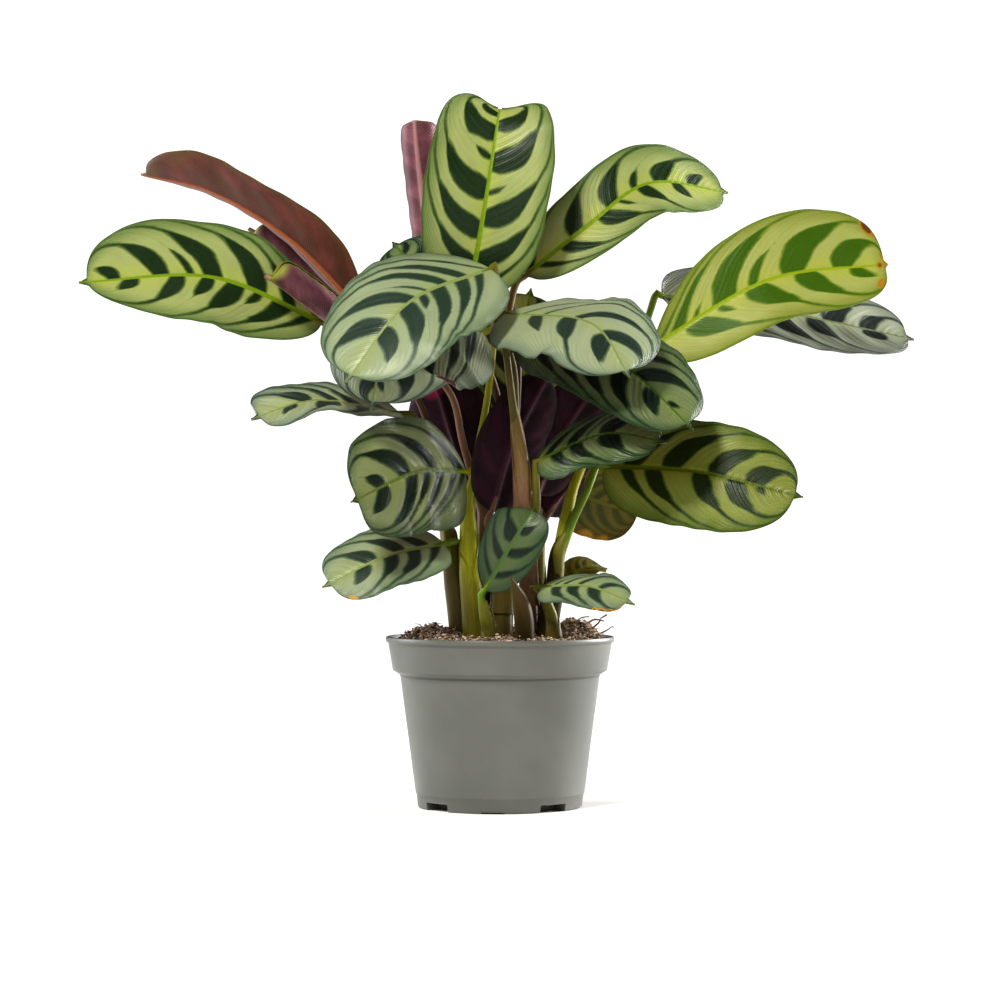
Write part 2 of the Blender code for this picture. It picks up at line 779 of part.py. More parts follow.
def make_leaf(leaf, collection, material):
    """One blade: a net of triangles over its upper side, thickened downwards, most under the midrib."""
    curve = smooth(leaf.spine)
    body = 1 - leaf.point / curve[1][-1]
    count = min(max(round(curve[1][-1] / BLADE_ROW_LENGTH), BLADE_ROWS[0]), BLADE_ROWS[1])
    shares = [body * (1 - math.cos(math.pi * row / count)) / 2 for row in range(count + 1)]
    rows = []
    for share in [*shares, 1.0]:
        left, right = (blade_half_width(leaf, share, body, side) for side in (-1, 1))
        columns = blade_columns(min(left, right))
        rows.append([blade_point(leaf, curve, share, v, left if v < 0 else right) * MM for v in columns])
    wide = len(rows[0])
    faces = []
    for row in range(len(rows) - 1):
        for column in range(wide - 1):
            a = row * wide + column
            b, c, d = a + 1, a + wide + 1, a + wide
            faces += [(a, b, c), (a, c, d)] if column < wide // 2 else [(a, b, d), (b, c, d)]
    mesh = bpy.data.meshes.new(leaf.name)
    mesh.from_pydata([point for row in rows for point in row], [], faces)
    blade = add_object(leaf.name + "_face", mesh, collection)
    rib = blade.vertex_groups.new(name="midrib")
    rib.add([row * wide + wide // 2 for row in range(len(rows))], 1.0, "REPLACE")
    skin = blade.modifiers.new("Thickness", "SOLIDIFY")
    skin.thickness = MIDRIB_THICKNESS * MM
    skin.offset = -1.0
    skin.vertex_group = "midrib"
    skin.thickness_vertex_group = BLADE_THICKNESS / MIDRIB_THICKNESS
    bpy.context.view_layer.update()
    made = realised(blade, leaf.name, collection, material)
    shade(made, 50.0)


def tube(name, route, sides_level, collection):
    """A tapered round stem through these points, each with its radius, closed at both ends."""
    curve = smooth(route)
    count = max(3, round(curve[1][-1] / TUBE_STEP))
    data = bpy.data.curves.new(name, "CURVE")
    data.dimensions = "3D"
    data.bevel_depth = MM
    data.bevel_resolution = sides_level
    data.use_fill_caps = True
    line = data.splines.new("POLY")
    line.points.add(count)
    for index, point in enumerate(line.points):
        x, y, z, radius = along(curve, index / count)
        point.co = (x * MM, y * MM, z * MM, 1.0)
        point.radius = radius
    source = bpy.data.objects.new(name, data)
    collection.objects.link(source)
    bpy.context.view_layer.update()
    return realised(source, name + "_solid", collection)


def stalk_route(petiole, leaf, order):
    """The stalk's points with its last ones added, which reach the blade's base along its midrib.

    Each stalk starts a little lower and further round inside the sheath than the one before it.
    """
    curve = smooth(leaf.spine)
    place, ahead, _, up = blade_frame(leaf, curve, 0.0)
    seat = place - up * BLADE_THICKNESS / 2
    lead = seat - ahead * (petiole.lead + STALK_END_GAP)
    end = seat - ahead * STALK_END_GAP
    ends = [(*lead, PULVINUS_RADIUS), (*end, STALK_END_RADIUS)]
    x, y, z, radius = petiole.route[0]
    turn = order * STALK_TURN
    start = (x + 0.3 * math.cos(turn), y + 0.3 * math.sin(turn), z - 2.0 - STALK_DROP * order, radius)
    return [start, *petiole.route[1:], *ends]


def make_shoot(shoot, leaves, collection, helpers, material):
    """One leafy stem: its sheathed stem and the stalks that leave it, joined in one body."""
    stem = tube(shoot.name + "_stem", shoot.stem, 2, helpers)
    stalks = [
        tube(petiole.leaf + "_stalk", stalk_route(petiole, leaves[petiole.leaf], order), 1, helpers)
        for order, petiole in enumerate(shoot.petioles)
    ]
    if stalks:
        made = combined(stem, stalks, "UNION", shoot.name, collection, material)
    else:
        made = realised(stem, shoot.name, collection, material)
    shade(made, 60.0)


def new_collection(name):
    """A collection of this name in the scene."""
    made = bpy.data.collections.new(name)
    bpy.context.scene.collection.children.link(made)
    return made


def main():
    """Clears the scene and models the plant in its pot."""
    for old in list(bpy.data.objects):
        bpy.data.objects.remove(old)
    plant = new_collection("Potted amabilis prayer plant")
    helpers = new_collection("Helpers")
    helpers.hide_render = True
    make_pot(plant, helpers)
    make_soil(plant, helpers)
    green = finish("Leaf", (0.19, 0.33, 0.14), 0.4)
    stem = finish("Stem", (0.32, 0.27, 0.09), 0.5)
    for leaf in LEAVES:
        make_leaf(leaf, plant, green)
    leaves = {leaf.name: leaf for leaf in LEAVES}
    for shoot in SHOOTS:
        make_shoot(shoot, leaves, plant, helpers, stem)


if __name__ == "__main__":
    main()
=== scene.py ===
"""Looks of a potted amabilis prayer plant: finely veined leaves, sheathed shoots, peat and a moulded pot.

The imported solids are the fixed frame. Each one is replaced by a finer piece that keeps its form.
Sizes are in millimetres unless a name says otherwise, and MM turns them to Blender's metres.
X runs to the right, Y to the back and Z up. The origin is the middle of the pot's underside.
"""

import logging
import math
from dataclasses import dataclass, field
from enum import Enum
from functools import partial

import bmesh
import bpy
import numpy as np
from mathutils import Matrix, Vector

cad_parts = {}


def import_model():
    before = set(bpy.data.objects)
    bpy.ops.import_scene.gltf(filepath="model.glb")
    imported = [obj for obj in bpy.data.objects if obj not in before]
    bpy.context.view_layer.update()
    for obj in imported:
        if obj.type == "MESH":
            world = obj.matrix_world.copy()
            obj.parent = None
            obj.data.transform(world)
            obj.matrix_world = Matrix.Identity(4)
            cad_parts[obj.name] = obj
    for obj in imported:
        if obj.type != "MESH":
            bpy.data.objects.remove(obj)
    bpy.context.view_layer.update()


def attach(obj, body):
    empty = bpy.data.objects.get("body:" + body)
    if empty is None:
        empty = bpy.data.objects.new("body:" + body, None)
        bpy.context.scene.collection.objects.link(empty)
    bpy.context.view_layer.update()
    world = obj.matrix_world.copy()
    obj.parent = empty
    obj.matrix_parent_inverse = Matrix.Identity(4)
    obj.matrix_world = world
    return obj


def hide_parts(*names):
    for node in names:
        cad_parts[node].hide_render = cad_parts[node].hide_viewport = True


LOG = logging.getLogger("prayer_plant")
MM = 0.001
SEED = 11
TISSUE_IOR = 1.45
VEIN_SPACING = 0.9


def linear(code: str) -> tuple[float, float, float, float]:
    """Turns an sRGB hex colour into linear values with full alpha.

    Args:
        code: Six hex digits, with or without a leading mark.

    Returns:
        Red, green, blue and alpha, as the shaders read them.
    """
    digits = code.lstrip("#")
    shares = [int(digits[i : i + 2], 16) / 255 for i in (0, 2, 4)]
    light = [s / 12.92 if s <= 0.04045 else ((s + 0.055) / 1.055) ** 2.4 for s in shares]
    return (light[0], light[1], light[2], 1.0)


class Step(Enum):
    """The steps that a pattern is worked out in: node, settings, inputs in their order, and output."""

    MIX = ("ShaderNodeMix", {"data_type": "RGBA"}, (0, 6, 7), 2)
    EASE = (
        "ShaderNodeMapRange",
        {"interpolation_type": "SMOOTHSTEP"},
        ("Value", "From Min", "From Max", "To Min", "To Max"),
        0,
    )
    NOISE = ("ShaderNodeTexNoise", {}, ("Vector", "Scale", "Detail"), 0)
    ADD = ("ShaderNodeMath", {"operation": "ADD"}, (0, 1), 0)
    SUBTRACT = ("ShaderNodeMath", {"operation": "SUBTRACT"}, (0, 1), 0)
    MULTIPLY = ("ShaderNodeMath", {"operation": "MULTIPLY"}, (0, 1), 0)
    MAXIMUM = ("ShaderNodeMath", {"operation": "MAXIMUM"}, (0, 1), 0)
    SINE = ("ShaderNodeMath", {"operation": "SINE"}, (0,), 0)
    ABSOLUTE = ("ShaderNodeMath", {"operation": "ABSOLUTE"}, (0,), 0)
    FRACT = ("ShaderNodeMath", {"operation": "FRACT"}, (0,), 0)


def add_node(
    tree: bpy.types.NodeTree, kind: str, inputs: dict | None = None, **settings: object
) -> bpy.types.Node:
    """Adds one node with its settings, values and links.

    Args:
        tree: The material's or world's node tree.
        kind: Blender's name for the node.
        inputs: Socket name or number to a value, or to the output socket that feeds it.
        settings: The node's own properties.

    Returns:
        The new node.
    """
    node = tree.nodes.new(kind)
    for name, value in settings.items():
        setattr(node, name, value)
    for name, value in (inputs or {}).items():
        if isinstance(value, bpy.types.NodeSocket):
            tree.links.new(value, node.inputs[name])
        else:
            node.inputs[name].default_value = value
    return node


def add_step(tree: bpy.types.NodeTree, step: Step, *inputs: object) -> bpy.types.NodeSocket:
    """Adds the node of one step.

    Args:
        tree: The node tree.
        step: Which step it is.
        inputs: Numbers, colours or sockets, in the step's own order.

    Returns:
        The socket of the step's result.
    """
    kind, settings, sockets, output = step.value
    return add_node(tree, kind, dict(zip(sockets, inputs)), **settings).outputs[output]


def layered(tree: bpy.types.NodeTree, base: object, *layers: tuple) -> bpy.types.NodeSocket:
    """Lays colours over a base one after the other, each where its own value makes a smooth step.

    Args:
        tree: The node tree.
        base: The lowest colour, as a value or a socket.
        layers: For each colour the socket to read, the step's limits with the shares that it gives at them
            (0 and 1 where they are left out), and the colour as hex digits or a socket.

    Returns:
        The socket of the colour on top.
    """
    for value, limits, colour in layers:
        over = linear(colour) if isinstance(colour, str) else colour
        base = add_step(tree, Step.MIX, add_step(tree, Step.EASE, value, *limits), base, over)
    return base


def new_material(name: str) -> tuple[bpy.types.Material, bpy.types.NodeTree]:
    """Makes a material whose node tree is empty.

    Args:
        name: The real material and how its surface was made.

    Returns:
        The material and its node tree.
    """
    material = bpy.data.materials.new(name)
    material.use_nodes = True
    material.node_tree.nodes.clear()
    return material, material.node_tree


def read(tree: bpy.types.NodeTree, name: str) -> tuple:
    """Reads one of the attributes that a mesh carries.

    Args:
        tree: The node tree.
        name: The attribute's name.

    Returns:
        The socket of the whole vector, and the sockets of its three parts.
    """
    vector = add_node(tree, "ShaderNodeAttribute", attribute_name=name).outputs["Vector"]
    return vector, add_node(tree, "ShaderNodeSeparateXYZ", {0: vector}).outputs


def finish_tissue(tree: bpy.types.NodeTree, skin: dict, glow: bpy.types.NodeSocket, share: float) -> None:
    """Ends a plant material: its skin, and the light that passes through the tissue.

    Args:
        tree: The node tree.
        skin: Inputs of the skin's shader.
        glow: Colour of the light that comes through.
        share: How much of the light comes through.
    """
    surface = add_node(tree, "ShaderNodeBsdfPrincipled", {"IOR": TISSUE_IOR, **skin})
    through = add_node(tree, "ShaderNodeBsdfTranslucent", {"Color": glow})
    both = add_node(tree, "ShaderNodeMixShader", {0: share, 1: surface.outputs[0], 2: through.outputs[0]})
    add_node(tree, "ShaderNodeOutputMaterial", {"Surface": both.outputs[0]})


class Path:
    """A smooth curve through points, read by share of its length."""

    STEPS = 24

    def __init__(self, points: list | tuple) -> None:
        """Fits the curve.

        Args:
            points: Rows of x, y, z, and a radius where the curve has one.
        """
        knots = np.array(points, float)
        knots = np.vstack([2 * knots[0] - knots[1], knots, 2 * knots[-1] - knots[-2]])
        t = (np.arange(self.STEPS) / self.STEPS)[:, None]
        fine = []
        for a, b, c, d in zip(knots, knots[1:], knots[2:], knots[3:]):
            square = 2 * a - 5 * b + 4 * c - d
            cube = 3 * b - a - 3 * c + d
            fine.append((2 * b + (c - a) * t + square * t**2 + cube * t**3) / 2)
        self.fine = np.vstack([*fine, knots[-2:-1]])
        steps = np.linalg.norm(np.diff(self.fine[:, :3], axis=0), axis=1)
        self.reach = np.concatenate([[0.0], np.cumsum(steps)])
        self.length = float(self.reach[-1])

    def at(self, shares: np.ndarray) -> np.ndarray:
        """The points at these shares of the length.

        Args:
            shares: Values from 0 to 1, and values outside are held to the ends.

        Returns:
            One row for each share.
        """
        wanted = np.clip(shares, 0, 1) * self.length
        return np.stack([np.interp(wanted, self.reach, column) for column in self.fine.T], axis=1)


def unit(rows: np.ndarray) -> np.ndarray:
    """Rows scaled to length one."""
    return rows / np.maximum(np.linalg.norm(rows, axis=-1, keepdims=True), 1e-9)


@dataclass
class Draft:
    """One piece while it is being built.

    The lists hold what was added for each closed form, and count is how many points there are so far.
    """

    points: list[np.ndarray] = field(default_factory=list)
    faces: list[tuple] = field(default_factory=list)
    slots: list[int] = field(default_factory=list)
    place: list[np.ndarray] = field(default_factory=list)
    marking: list[np.ndarray] = field(default_factory=list)
    fleck: list[np.ndarray] = field(default_factory=list)
    rim: list[np.ndarray] = field(default_factory=list)
    count: int = 0

    def add(
        self,
        points: np.ndarray,
        faces: list,
        slot: int | list[int] = 0,
        place: np.ndarray | None = None,
        marking: np.ndarray | None = None,
        fleck: np.ndarray | None = None,
        rim: np.ndarray | None = None,
    ) -> None:
        """Adds one closed form to the piece.

        Args:
            points: Rows of x, y, z.
            faces: Lists of point numbers within this form.
            slot: Material slot, or one for each face.
            place: Surface coordinates in millimetres for the patterns.
            marking: Three values that the material's markings read.
            fleck: The same three for small flecks between the lobes.
            rim: Distance from the margin and into the midrib in millimetres, and blot strength from 0 to 1,
                which is damage, and on the shade leaf painted light shining through.
        """
        size = len(points)
        self.points.append(points)
        self.faces.extend([tuple(i + self.count for i in face) for face in faces])
        self.slots.extend(slot if isinstance(slot, list) else [slot] * len(faces))
        self.place.append(points if place is None else place)
        for store, rows in ((self.marking, marking), (self.fleck, fleck), (self.rim, rim)):
            store.append(np.zeros((size, 3)) if rows is None else rows)
        self.count += size

    def to_object(self, name: str, materials: list, sharp: float = 50.0) -> bpy.types.Object:
        """Makes the mesh object.

        Args:
            name: The piece's name.
            materials: One for each slot.
            sharp: Angle in degrees over which an edge stays crisp.

        Returns:
            The object, in the scene.
        """
        mesh = bpy.data.meshes.new(name)
        mesh.from_pydata((np.vstack(self.points) * MM).tolist(), [], self.faces)
        mesh.polygons.foreach_set("material_index", self.slots)
        named = (("place", self.place), ("marking", self.marking), ("fleck", self.fleck), ("rim", self.rim))
        for label, rows in named:
            attribute = mesh.attributes.new(label, "FLOAT_VECTOR", "POINT")
            attribute.data.foreach_set("vector", np.vstack(rows).astype(np.float32).ravel())
        for material in materials:
            mesh.materials.append(material)
        mesh.shade_smooth()
        mesh.set_sharp_from_angle(angle=math.radians(sharp))
        made = bpy.data.objects.new(name, mesh)
        bpy.context.scene.collection.objects.link(made)
        return made


def sheet_faces(rows: int, columns: int) -> tuple[list, list[int]]:
    """Faces of a thin sheet whose points are two equal grids, the outer side's before the inner side's.

    Args:
        rows: Rows of each grid.
        columns: Points in each row.

    Returns:
        The faces, and for each one 0 where it is outside or on the margin and 1 where it is inside.
    """
    size = rows * columns
    index = np.arange(size).reshape(rows, columns)
    outer = np.stack([index[:-1, :-1], index[:-1, 1:], index[1:, 1:], index[1:, :-1]], axis=-1).reshape(-1, 4)
    inner = outer[:, ::-1] + size
    margin = []
    for line, flip in ((index[:, 0], False), (index[:, -1], True), (index[0], True), (index[-1], False)):
        first, second = (line[1:], line[:-1]) if flip else (line[:-1], line[1:])
        margin.append(np.stack([first, second, second + size, first + size], axis=-1))
    margin = np.vstack(margin)
    faces = np.vstack([outer, inner, margin]).tolist()
    return faces, [0] * len(outer) + [1] * len(inner) + [0] * len(margin)


def turned_faces(rings: int, sides: int) -> list:
    """Faces of a turned form, whose rings run from its inside or top round to its underside.

    Args:
        rings: How many rings of points there are.
        sides: Points in each ring.

    Returns:
        The faces. Two points that follow the rings close the first ring and the last one.
    """
    index = np.arange(rings * sides).reshape(rings, sides)
    ahead = np.roll(index, -1, axis=1)
    faces = np.stack([index[:-1], index[1:], ahead[1:], ahead[:-1]], axis=-1).reshape(-1, 4).tolist()
    top, low = rings * sides, rings * sides + 1
    faces += [[top, index[0, i], ahead[0, i]] for i in range(sides)]
    faces += [[low, ahead[-1, i], index[-1, i]] for i in range(sides)]
    return faces


def settle(piece: bpy.types.Object, slot: str, *nodes: str) -> None:
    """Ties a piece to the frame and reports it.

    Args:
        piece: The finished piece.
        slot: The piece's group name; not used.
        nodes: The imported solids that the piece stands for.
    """
    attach(piece, "root")
    if nodes:
        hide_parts(*nodes)
    stands_for = ", ".join(nodes) or "nothing"
    LOG.info("%s: %d faces, stands for %s", piece.name, len(piece.data.polygons), stands_for)


class Tone(Enum):
    """How a blade's upper side looks, by its age and colouring. The deep and jade tones are darker copies
    that paint the shade on blades lying under others.
    """

    FRESH = "fresh"
    SILVER = "silver"
    BACKLIT = "backlit"
    DEEP = "deep"
    OLIVE = "olive"
    BRONZE = "bronze"
    SAGE = "sage"
    JADE = "jade"
    PEWTER = "pewter"
    MOSS = "moss"


class Lining(Enum):
    """How a blade's underside looks."""

    MAUVE = "mauve"
    RUSSET = "russet"
    PLUM = "plum"
    GREEN = "green"


def lobe_depth(tree: bpy.types.NodeTree) -> bpy.types.NodeSocket:
    """How deep a point lies inside a dark lobe or fleck, in millimetres, and below zero outside.

    Args:
        tree: The node tree.

    Returns:
        The value's socket.
    """
    add = partial(add_step, tree)
    depths = []
    for name in ("marking", "fleck"):
        count, thick, spacing = read(tree, name)[1]
        # Lobes are counted along the blade, so the middle of each one lies halfway between two whole counts
        off_middle = add(Step.ABSOLUTE, add(Step.SUBTRACT, add(Step.FRACT, count), 0.5))
        depths.append(add(Step.SUBTRACT, thick, add(Step.MULTIPLY, off_middle, spacing)))
    return add(Step.MAXIMUM, *depths)


@dataclass(frozen=True)
class LeafCuticle:
    """Waxy leaf cuticle over patterned tissue: pale ground, dark lobes, a duller rim and a bright midrib.

    Attributes:
        name: The material's name.
        ground: Colour between the lobes.
        flush: Fresher green beside the midrib, also of light that comes through.
        lobe: The dark lobes.
        border: Mid green round the lobes, at the very edge and in the veins.
        margin: The duller rim.
        rib: The midrib.
        light_through: How much light passes through the blade.
        roughness: Dullness of the wax.
        coat: Strength of a second, wetter shine.
        gloss: Strength of the wax's own shine.
        pleat: Height of the pleats between the stronger veins.
    """

    name: str
    ground: str
    flush: str
    lobe: str
    border: str
    margin: str
    rib: str
    light_through: float = 0.22
    roughness: float = 0.38
    coat: float = 0.0
    gloss: float = 0.3
    pleat: float = 0.03

    CELLS = 0.7
    CLOUDS = 9.0
    RAGGED = 1.5
    PLEAT_SPACING = 2.6
    VEIN_HEIGHT = 0.012
    CELL_HEIGHT = 0.03
    SCORCH_RIM = "#C9962A"
    SCORCH_CORE = "#7A4A22"

    def build(self) -> bpy.types.Material:
        """Makes the material.

        Returns:
            A material that reads the place, marking, fleck and rim attributes.
        """
        # To the eye: satin wax with broad soft highlights, broken by fine veins, and a glow against the light
        material, tree = new_material(self.name)
        add = partial(add_step, tree)
        place, axes = read(tree, "place")
        edge, rib, sick = read(tree, "rim")[1]
        cells = add(Step.NOISE, place, 1 / self.CELLS)
        clouds = add(Step.NOISE, place, 1 / self.CLOUDS, 3.0)
        ragged = add(Step.SUBTRACT, add(Step.NOISE, place, 1 / self.RAGGED, 3.0), 0.5)
        # The lateral veins run from the midrib to the rim
        veins = add(Step.SINE, add(Step.MULTIPLY, axes[2], math.tau / VEIN_SPACING))
        depth = add(Step.ADD, lobe_depth(tree), add(Step.MULTIPLY, ragged, 0.55))
        hurt = add(Step.ADD, sick, add(Step.MULTIPLY, add(Step.SUBTRACT, cells, 0.5), 0.3))
        ground = layered(
            tree,
            linear(self.ground),
            (add(Step.ABSOLUTE, axes[1]), (0.5, 7.0, 0.7, 0.0), self.flush),
            (clouds, (0.42, 0.66, 0.0, 0.16), self.margin),
            (edge, (0.8, 6.5, 0.85, 0.0), self.margin),
            (veins, (-1.0, 1.0, 0.0, 0.08), self.border),
        )
        core = layered(
            tree,
            linear(self.lobe),
            (cells, (0.35, 0.8, 0.0, 0.2), self.border),
            (veins, (0.6, 1.0, 0.0, 0.1), self.margin),
        )
        base = layered(
            tree,
            ground,
            (depth, (-0.6, 0.0, 0.0, 0.75), self.border),
            (depth, (-0.2, 0.55), core),
            (edge, (0.15, 1.1, 0.7, 0.0), self.border),
            (rib, (-0.2, 0.12), self.rib),
            (hurt, (0.25, 0.5), self.SCORCH_RIM),
            (hurt, (0.6, 0.85), self.SCORCH_CORE),
        )
        # Shallow pleats lie between the stronger veins, pushed about by the clouds. Relief is in millimetres.
        pleats = add(Step.MULTIPLY, axes[2], math.tau / self.PLEAT_SPACING)
        pleats = add(Step.SINE, add(Step.ADD, pleats, add(Step.MULTIPLY, clouds, 6.0)))
        relief = add(Step.MULTIPLY, pleats, self.pleat)
        relief = add(Step.ADD, relief, add(Step.MULTIPLY, veins, self.VEIN_HEIGHT))
        relief = add(Step.ADD, relief, add(Step.MULTIPLY, cells, self.CELL_HEIGHT))
        bump = add_node(tree, "ShaderNodeBump", {"Strength": 1.0, "Distance": MM, "Height": relief})
        skin = {
            "Base Color": base,
            "Roughness": add(Step.EASE, clouds, 0.3, 0.7, self.roughness - 0.06, self.roughness + 0.08),
            "Specular IOR Level": self.gloss,
            "Coat Weight": self.coat,
            "Coat Roughness": 0.25,
            "Normal": bump.outputs[0],
        }
        finish_tissue(tree, skin, add(Step.MIX, 0.35, base, linear(self.flush)), self.light_through)
        return material


@dataclass(frozen=True)
class LeafLining:
    """Velvety underside of a blade, tinted by its own pigment, with raised pale veins.

    Attributes:
        name: The material's name.
        main: The pigment.
        deep: The pigment where it is thickest.
        shade_of_lobes: What the upper side's lobes add where they show through.
        rib: The midrib and the veins.
        margin: The outermost rim.
        spot: Green or straw patches at the listed blots, and on the plum underside a magenta spot of painted
            light shining through.
        light_through: How much light passes through the blade.
        roughness: Dullness of the skin.
        gloss: Strength of its shine.
    """

    name: str
    main: str
    deep: str
    shade_of_lobes: str
    rib: str
    margin: str
    spot: str
    light_through: float = 0.15
    roughness: float = 0.42
    gloss: float = 0.25

    CELLS = 0.6
    CLOUDS = 11.0
    RELIEF = 0.12

    def build(self) -> bpy.types.Material:
        """Makes the material.

        Returns:
            A material that reads the place, marking, fleck and rim attributes.
        """
        # To the eye: a dusky, slightly cloudy sheen without sharp highlights, ribbed by the veins
        material, tree = new_material(self.name)
        add = partial(add_step, tree)
        place, axes = read(tree, "place")
        edge, rib, tinted = read(tree, "rim")[1]
        cells = add(Step.NOISE, place, 1 / self.CELLS)
        clouds = add(Step.NOISE, place, 1 / self.CLOUDS, 3.0)
        veins = add(Step.SINE, add(Step.MULTIPLY, axes[2], math.tau / VEIN_SPACING))
        base = layered(
            tree,
            linear(self.main),
            (clouds, (0.35, 0.65), self.deep),
            (lobe_depth(tree), (-1.2, 0.6, 0.0, 0.5), self.shade_of_lobes),
            (edge, (0.0, 2.5, 0.5, 0.0), self.margin),
            # The blots take the spot colour, which on the plum underside is painted light shining through
            (tinted, (0.1, 0.8, 0.0, 0.95), self.spot),
            (veins, (0.2, 1.0, 0.0, 0.12), self.rib),
            (rib, (-0.6, 0.2), self.rib),
        )
        relief = add(Step.ADD, add(Step.MULTIPLY, veins, 0.5), cells)
        inputs = {"Strength": 0.4, "Distance": self.RELIEF * MM, "Height": relief}
        bump = add_node(tree, "ShaderNodeBump", inputs)
        skin = {
            "Base Color": base,
            "Roughness": self.roughness,
            "Specular IOR Level": self.gloss,
            "Sheen Weight": 0.12,
            "Sheen Roughness": 0.4,
            "Normal": bump.outputs[0],
        }
        finish_tissue(tree, skin, base, self.light_through)
        return material


CUTICLES = {
    Tone.FRESH: LeafCuticle(
        "waxy leaf cuticle, fresh green", "#AAB472", "#B2BC56", "#152C14", "#436420", "#788C50", "#7E9C16"
    ),
    Tone.SILVER: LeafCuticle(
        "waxy leaf cuticle, silvered", "#A2AC88", "#A4AE70", "#203028", "#465C46", "#7E8E78", "#84965A",
        light_through=0.14, roughness=0.34, coat=0.15, gloss=0.45, pleat=0.04,
    ),
    Tone.BACKLIT: LeafCuticle(
        "waxy leaf cuticle, light shining through",
        "#C2C874", "#C8CE5A", "#46700E", "#76941E", "#A2AA4A", "#A8BC20",
        light_through=0.38,
    ),
    # A darker copy of the green cuticle: painted shade for the blades that lie under others
    Tone.DEEP: LeafCuticle(
        "waxy leaf cuticle, dark green with painted shade", "#727E54", "#76844A", "#0E1E14", "#2C4624", "#465E3C", "#4C6822",
        light_through=0.12, roughness=0.32, coat=0.06, gloss=0.35, pleat=0.05,
    ),
    Tone.OLIVE: LeafCuticle(
        "waxy leaf cuticle, olive", "#8E9848", "#7E8424", "#182C08", "#445E16", "#66782C", "#58680E",
        light_through=0.25,
    ),
    Tone.SAGE: LeafCuticle(
        "waxy leaf cuticle, sage green", "#9AA682", "#9AA66A", "#26382C", "#465E44", "#748666", "#8A9A5C",
        light_through=0.14, roughness=0.36, coat=0.08, gloss=0.4, pleat=0.02,
    ),
    # A dark blue-green copy: painted shade on the front blade, which lies under the upper leaves
    Tone.JADE: LeafCuticle(
        "waxy leaf cuticle, blue-green with painted shade", "#5A6844", "#56643A", "#132018", "#2C422A", "#384C30", "#4C6634",
        light_through=0.1, roughness=0.36, coat=0.05, pleat=0.02,
    ),
    Tone.PEWTER: LeafCuticle(
        "waxy leaf cuticle, pewter grey", "#A4AA94", "#A6AC88", "#1C2622", "#4E5A50", "#8E9684", "#7E8A62",
        light_through=0.12, roughness=0.34, coat=0.1, gloss=0.45, pleat=0.04,
    ),
    Tone.MOSS: LeafCuticle(
        "waxy leaf cuticle, moss green", "#868E62", "#808A4A", "#101E14", "#34482A", "#526440", "#5E7028",
        light_through=0.14, roughness=0.32, coat=0.06, gloss=0.35,
    ),
    Tone.BRONZE: LeafCuticle(
        "waxy leaf cuticle, ageing", "#6E6C1C", "#6E6416", "#444C12", "#565614", "#7A6018", "#6E6E1C",
        light_through=0.3, roughness=0.42,
    ),
}

LININGS = {
    Lining.MAUVE: LeafLining(
        "velvety leaf underside, mauve", "#83505A", "#5E343E", "#54323A", "#A87C7C", "#6E5E32", "#98A434"
    ),
    Lining.RUSSET: LeafLining(
        "velvety leaf underside, russet", "#68342C", "#50291C", "#503320", "#9C5A38", "#5A4A20", "#5A4624"
    ),
    # The plum underside's own colour, darkened as painted shade for the plant's dark middle; its spot colour
    # is a magenta glow of painted light shining through
    Lining.PLUM: LeafLining(
        "velvety leaf underside, plum with painted shade", "#3A1A28", "#1A0A10", "#200E16", "#482834", "#2A2414", "#9A1248",
        light_through=0.06, roughness=0.5, gloss=0.15,
    ),
    Lining.GREEN: LeafLining(
        "velvety leaf underside, green", "#7C8458", "#5E5A44", "#3F4A2C", "#9CA85A", "#6E7A3A", "#8A7A3A"
    ),
}


